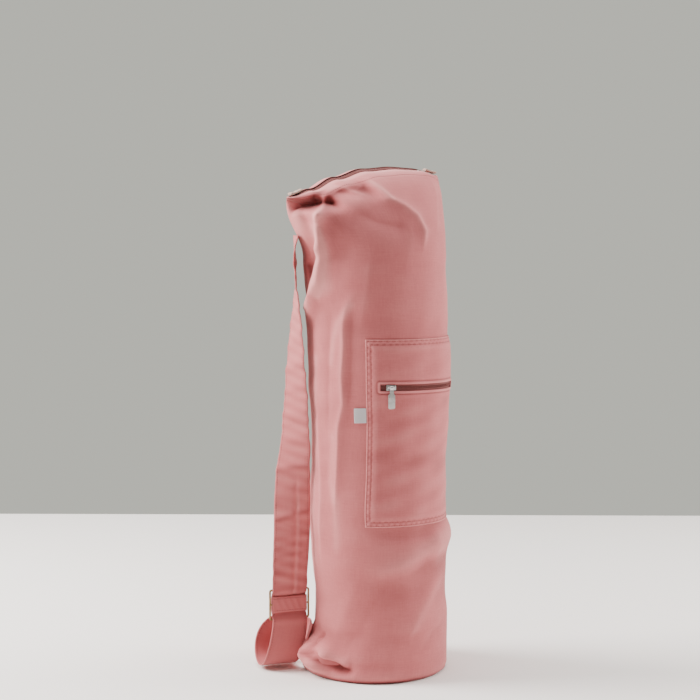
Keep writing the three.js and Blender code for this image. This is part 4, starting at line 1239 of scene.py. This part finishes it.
# Resamples the stops evenly, then averages each place with its neighbours by
# exp(-distance^2 / 2 spread^2), so corners round off without moving the ends
def smoothStops(stops, samples):
    middles = np.array([stop[0] for stop in stops])
    across = unit(np.array([stop[1] for stop in stops]))
    hollow = np.array([stop[2] for stop in stops])
    spread = np.array([stop[3] for stop in stops])
    run = runOf(middles)
    at = np.linspace(0, run[-1], samples)
    hollow, spread = sampleAt(at, run, np.stack([hollow, spread], axis=-1)).T
    fromEnd = np.minimum(at, at[-1] - at)

    def weightsOf(spreads):
        width = np.minimum(spreads, fromEnd / 2.5 + 1e-5)[:, None]
        weights = np.exp(-(at[None, :] - at[:, None])**2 / (2 * width**2))
        return weights / weights.sum(axis=1, keepdims=True)

    wider = weightsOf(spread * 1.4)
    middles = weightsOf(spread) @ sampleAt(at, run, middles)
    return middles, unit(wider @ sampleAt(at, run, across)), wider @ hollow, at


# The strap's own surface: p(t) + across * s * width/2 + out * (+-thickness/2 + hollow
# * (1 - s^2) + puckers), with rounded edges
def makeStrap():
    middle, across, hollow, run = smoothStops(strapStops(), strap["samples"])
    ways = unit(np.gradient(middle, axis=0))
    out = unit(np.cross(ways, across))
    across = unit(np.cross(out, ways))
    hangLength = run[-1] * strap["hangShare"]
    share = 1 - run / hangLength
    steps = np.linspace(-1, 1, 31)
    edge = np.sqrt(np.clip(1 - np.clip((np.abs(steps) - 0.955) / 0.045, 0, 1)**2, 0, 1))
    half = strap["thickness"] / 2 * mix(0.25, 1.0, edge)
    seam = 0.0003 * np.exp(-((1 - np.abs(steps)) * strap["width"] / 2 - strap["stitchIn"])**2
                           / 0.001**2)
    wave = np.zeros((len(run), len(steps)))
    for place, slant, reach, depth in strap["puckers"]:
        away = (share[:, None] - place) * hangLength - slant * steps[None, :] * strap["width"] / 2
        wave = wave + depth / 1000 * np.exp(-(away / reach)**2)
    hanging = soft((share - 0.06) / 0.05) * (1 - soft((share - 0.93) / 0.05))
    place, reach, depth, below = strap["lengthCrease"]
    lengthwise = depth * np.exp(-((steps[None, :] - place) / reach)**2)
    lengthwise = lengthwise * soft((below - share[:, None]) / 0.1)
    gentle = (0.0005 * np.sin(run[:, None] * 190 + steps[None, :] * 1.6)
              + 0.0003 * np.sin(run[:, None] * 420 - steps[None, :] * 2.3))
    rise = (wave + gentle - lengthwise) * hanging[:, None] + hollow[:, None] * (1 - steps**2)
    gathers = np.sin(run[:, None] * 1500) * np.exp(-((1 - np.abs(steps)) / 0.16)**2)
    rise = rise + 0.00021 * gathers
    face = half - seam
    level = middle[:, None, :] + across[:, None, :] * (steps * strap["width"] / 2)[None, :, None]
    front = level + out[:, None, :] * (rise + face)[..., None]
    back = level + out[:, None, :] * (rise - face)[..., None]
    rings = np.concatenate([front, back[:, ::-1]], axis=1)
    count = rings.shape[1]
    quads, caps = ringFaces(len(run), count)
    flat = np.stack([np.tile(np.concatenate([steps, steps[::-1]]) * strap["width"] / 2,
                             (len(run), 1)), np.repeat(run[:, None], count, axis=1)], axis=-1)
    # Mask: paler ridges and edges, partly wear and partly painted highlight, and painted shade in the
    # creases
    wearAndShade = wearAndShadeMask(front, False, 4, 0.0009)
    wearAndShade = wearAndShade + 0.3 * np.exp(-((1 - np.abs(steps)) / 0.05)**2)[None, :]
    wearAndShade = np.clip(np.concatenate([wearAndShade, wearAndShade[:, ::-1]], axis=1), 0, 1)
    makePiece("strapCloth", rings, quads[:, ::-1], strapCanvas, stands=["strap"],
              flat=flat, wearAndShade=wearAndShade, caps=[cap[::-1] for cap in caps])
    lines = []
    for side in (2, len(steps) - 3):
        lines.append((front[4:-4, side], out[4:-4]))
        lines.append((back[4:-4, side], -out[4:-4]))
    makeStitches("strapStitches", lines)


# Sets points drawn along the buckle's width, up and towards its front at its place
def atBuckle(points):
    spots = np.asarray(points, float).reshape(-1, 3)
    return (buckleMiddle + spots[:, :1] * buckleAcross + spots[:, 1:2] * buckleFront
            + spots[:, 2:] * upWay)


# The buckle: a bar carried round an oblong with rounded corners, and a middle bar
def makeBuckle():
    wide = strap["buckleWidth"] / 2 - strap["buckleBar"] / 2
    tall = strap["buckleHeight"] / 2 - strap["buckleBar"] / 2
    corner = strap["buckleCorner"]
    turns = []
    for quarter, (signX, signZ) in enumerate([(1, 1), (-1, 1), (-1, -1), (1, -1)]):
        angle = np.linspace(0, np.pi / 2, 9) + quarter * np.pi / 2
        turns.append(np.stack([signX * (wide - corner) + corner * np.cos(angle), np.zeros(9),
                               signZ * (tall - corner) + corner * np.sin(angle)], axis=-1))
    path = np.concatenate(turns)
    way = unit(np.roll(path, -1, axis=0) - np.roll(path, 1, axis=0))
    front = np.tile([0.0, 1.0, 0.0], (len(path), 1))
    outwards = np.cross(front, way)
    thin = strap["buckleBar"] / 2
    frameRings = sweep(path, front, outwards, thin, thin, 16, 4.5)
    frameQuads = gridFaces(len(path), 16, closeRows=True, closeColumns=True)
    middle = barRings(np.linspace(-wide, wide, 14), thin * 0.94, thin * 0.94, 16, 3.0)
    points, quads, caps = joinParts([(frameRings, frameQuads, []), (middle, *ringFaces(14, 16))])
    makePiece("strapBuckle", atBuckle(points), quads, agedBrass, stands=["strap_buckle"],
              caps=caps)


# The band: an oblong sleeve with round ends, |y| < depth/2, carried along the buckle's
# width, a little hollow at its middle and gathered at both edges
def makeBand():
    columns = np.linspace(-1, 1, 46)
    around = 72
    perimeter = np.arange(around) * tau / around
    depth = strap["bandDepth"] / 2
    tall = strap["bandHeight"] / 2
    gather = 1 - 0.05 * (1 - columns**2)

    def sleeve(inset):
        cosine = np.cos(perimeter)
        sine = np.sin(perimeter)
        y = (depth - inset) * np.sign(cosine) * np.abs(cosine)**0.42
        z = (tall - inset) * np.sign(sine) * np.abs(sine)**0.72
        fold = 0.0002 * np.sin(columns[:, None] * 17 + z[None, :] * 300)
        return np.stack([np.repeat((columns * strap["width"] / 2)[:, None], around, axis=1),
                         y[None, :] + fold * np.sign(y)[None, :],
                         z[None, :] * gather[:, None]], axis=-1)

    outside = sleeve(0.0)
    inside = sleeve(strap["bandCloth"])[::-1]
    rings = np.concatenate([outside, inside])
    quads = gridFaces(len(rings), around, closeRows=True, closeColumns=True)
    rowsUp = np.concatenate([columns, columns[::-1]]) * strap["width"] / 2
    flat = np.stack([np.repeat(rowsUp[:, None], around, axis=1),
                     np.tile(perimeter * 0.0088, (len(rings), 1))], axis=-1)
    # Paler along the band's folded top and bottom edges: partly wear, partly painted highlight
    wearAndShade = np.full(rings.shape[:2], 0.5) + 0.3 * (np.abs(np.sin(perimeter)) > 0.93)[None, :]
    makePiece("strapBand", atBuckle(rings), quads, strapCanvas, stands=["strap_band"],
              flat=flat, wearAndShade=np.clip(wearAndShade, 0, 1))
    lines = []
    wide, apart = strap["bandStitch"]
    for height in (-apart / 2, apart / 2):
        line = np.stack([np.linspace(-wide / 2, wide / 2, 30), np.full(30, depth - 0.00025),
                         np.full(30, height)], axis=-1)
        lines.append((atBuckle(line), np.tile(buckleFront, (30, 1))))
    makeStitches("bandStitches", lines)


makeStrap()
makeBuckle()
makeBand()
print("strap made")


# The round bottom
base = {"thickness": 0.003, "gap": 0.0006, "rise": 0.0008, "rounding": 0.0006}


# A disc inside the tube's foot: rings at shares of its rim, drawn up by
# rise * (1 - share^2) towards the middle, with both faces rounded at the edge
def makeBase():
    turns = np.arange(120) * 3.0
    rim = clothPoint(turns, np.zeros(120), -body["wall"] - base["gap"])
    middle = rim.mean(axis=0)
    shares = np.concatenate([np.linspace(0.004, 0.96, 14), [0.985, 1.0]])
    disc = mix(middle, rim[None], shares[:, None, None])
    edge = base["rounding"] * soft((shares - 0.95) / 0.05)
    low = disc.copy()
    low[..., 2] = (base["rise"] * (1 - shares**2) + edge)[:, None]
    high = disc.copy()
    high[..., 2] = (base["thickness"] - edge)[:, None]
    rings = np.concatenate([low, high[::-1]])
    quads, caps = ringFaces(len(rings), 120)
    makePiece("basePanel", rings, quads[:, ::-1], canvas, stands=["base_panel"],
              flat=rings[..., :2], caps=[cap[::-1] for cap in caps])


# Stitches in the groove of the rim's hem, along both lips
def makeSeams():
    up = np.full(220, 1 - body["hemStitch"] / body["height"])
    lines = [clothLine(np.linspace(start, end, 220), up, 0.0003)
             for start, end in ((184, 356), (4, 176))]
    makeStitches("rimStitches", lines)


makeBase()
makeSeams()
print("base made")


# Floor, light and camera
room = {
    "floorWide": 6.0,
    "floorFar": 1.144,
    "floorNear": -5.0,
    "floorColour": colour(0.97, 0.93, 0.90),
    "floorCloud": colour(0.98, 0.95, 0.93),
    "wallColour": colour(0.60, 0.60, 0.535),
    "roomLight": 0.4,
    "camera": (0.0, -2.0071, 0.5613),
    "lens": 77.7,
    "downward": 3.873,
    "leftward": 0.9235,
}
lights = [
    # name, place, aim, size, power, colour
    ("leftWindow", (-1.8, 0.15, 1.45), (0.0, 0.0, 0.32), 1.2, 112.0, (1.0, 0.97, 0.94)),
    ("rightWindow", (1.9, 0.3, 0.95), (0.0, 0.0, 0.3), 1.1, 50.0, (1.0, 0.95, 0.92)),
    ("topSoft", (-0.1, 0.1, 2.4), (0.0, 0.0, 0.2), 1.8, 50.0, (1.0, 0.98, 0.96)),
]


# The floor is one flat piece, the wall is the world's colour, which the camera sees at
# full strength and the cloth at a share of it, and each lamp and the camera look at an aim
def makeRoom():
    wide = room["floorWide"]
    corners = np.array([[-wide, room["floorNear"], 0], [wide, room["floorNear"], 0],
                        [wide, room["floorFar"], 0], [-wide, room["floorFar"], 0]])
    mesh = bpy.data.meshes.new("floor")
    mesh.from_pydata(toBag(corners).tolist(), [], [(0, 1, 2, 3)])
    looks, shader, start = startLooks("floor")
    solid = start.node("ShaderNodeTexCoord", {}, {}, "Object")
    cloud = noise(start, solid, 2.0, 3.0)
    tint = blendColours(start, cloud, room["floorColour"], room["floorCloud"])
    setShader(shader, Base_Color=tint, Roughness=0.7, Specular_IOR_Level=0.2)
    mesh.materials.append(looks)
    addObject("floor", mesh)

    world = bpy.data.worlds.new("room")
    world.use_nodes = True
    tree = world.node_tree
    backdrop = next(node for node in tree.nodes if node.type == "BACKGROUND")
    seen = Wire(tree, None).node("ShaderNodeLightPath", {}, {}, "Is Camera Ray")
    strength = seen * (1 - room["roomLight"]) + room["roomLight"]
    backdrop.inputs["Color"].default_value = room["wallColour"]
    tree.links.new(strength.socket, backdrop.inputs["Strength"])
    bpy.context.scene.world = world

    for name, place, aim, size, power, tone in lights:
        lamp = bpy.data.lights.new(name, "AREA")
        lamp.shape = "DISK"
        lamp.size = size
        lamp.energy = power
        lamp.color = tone
        made = addObject(name, lamp)
        made.location = toBag(place)
        towards = Vector(toBag(aim) - toBag(place))
        made.rotation_euler = towards.to_track_quat("-Z", "Y").to_euler()

    lens = bpy.data.cameras.new("pictureCamera")
    lens.lens = room["lens"]
    lens.sensor_width = 36.0
    camera = addObject("pictureCamera", lens)
    camera.location = toBag(room["camera"])
    left = room["leftward"] * degree
    look = np.array([-np.sin(left), np.cos(left), -np.tan(room["downward"] * degree)])
    camera.rotation_euler = Vector(toBag(look)).to_track_quat("-Z", "Y").to_euler()
    bpy.context.scene.camera = camera


makeRoom()
print("room made")
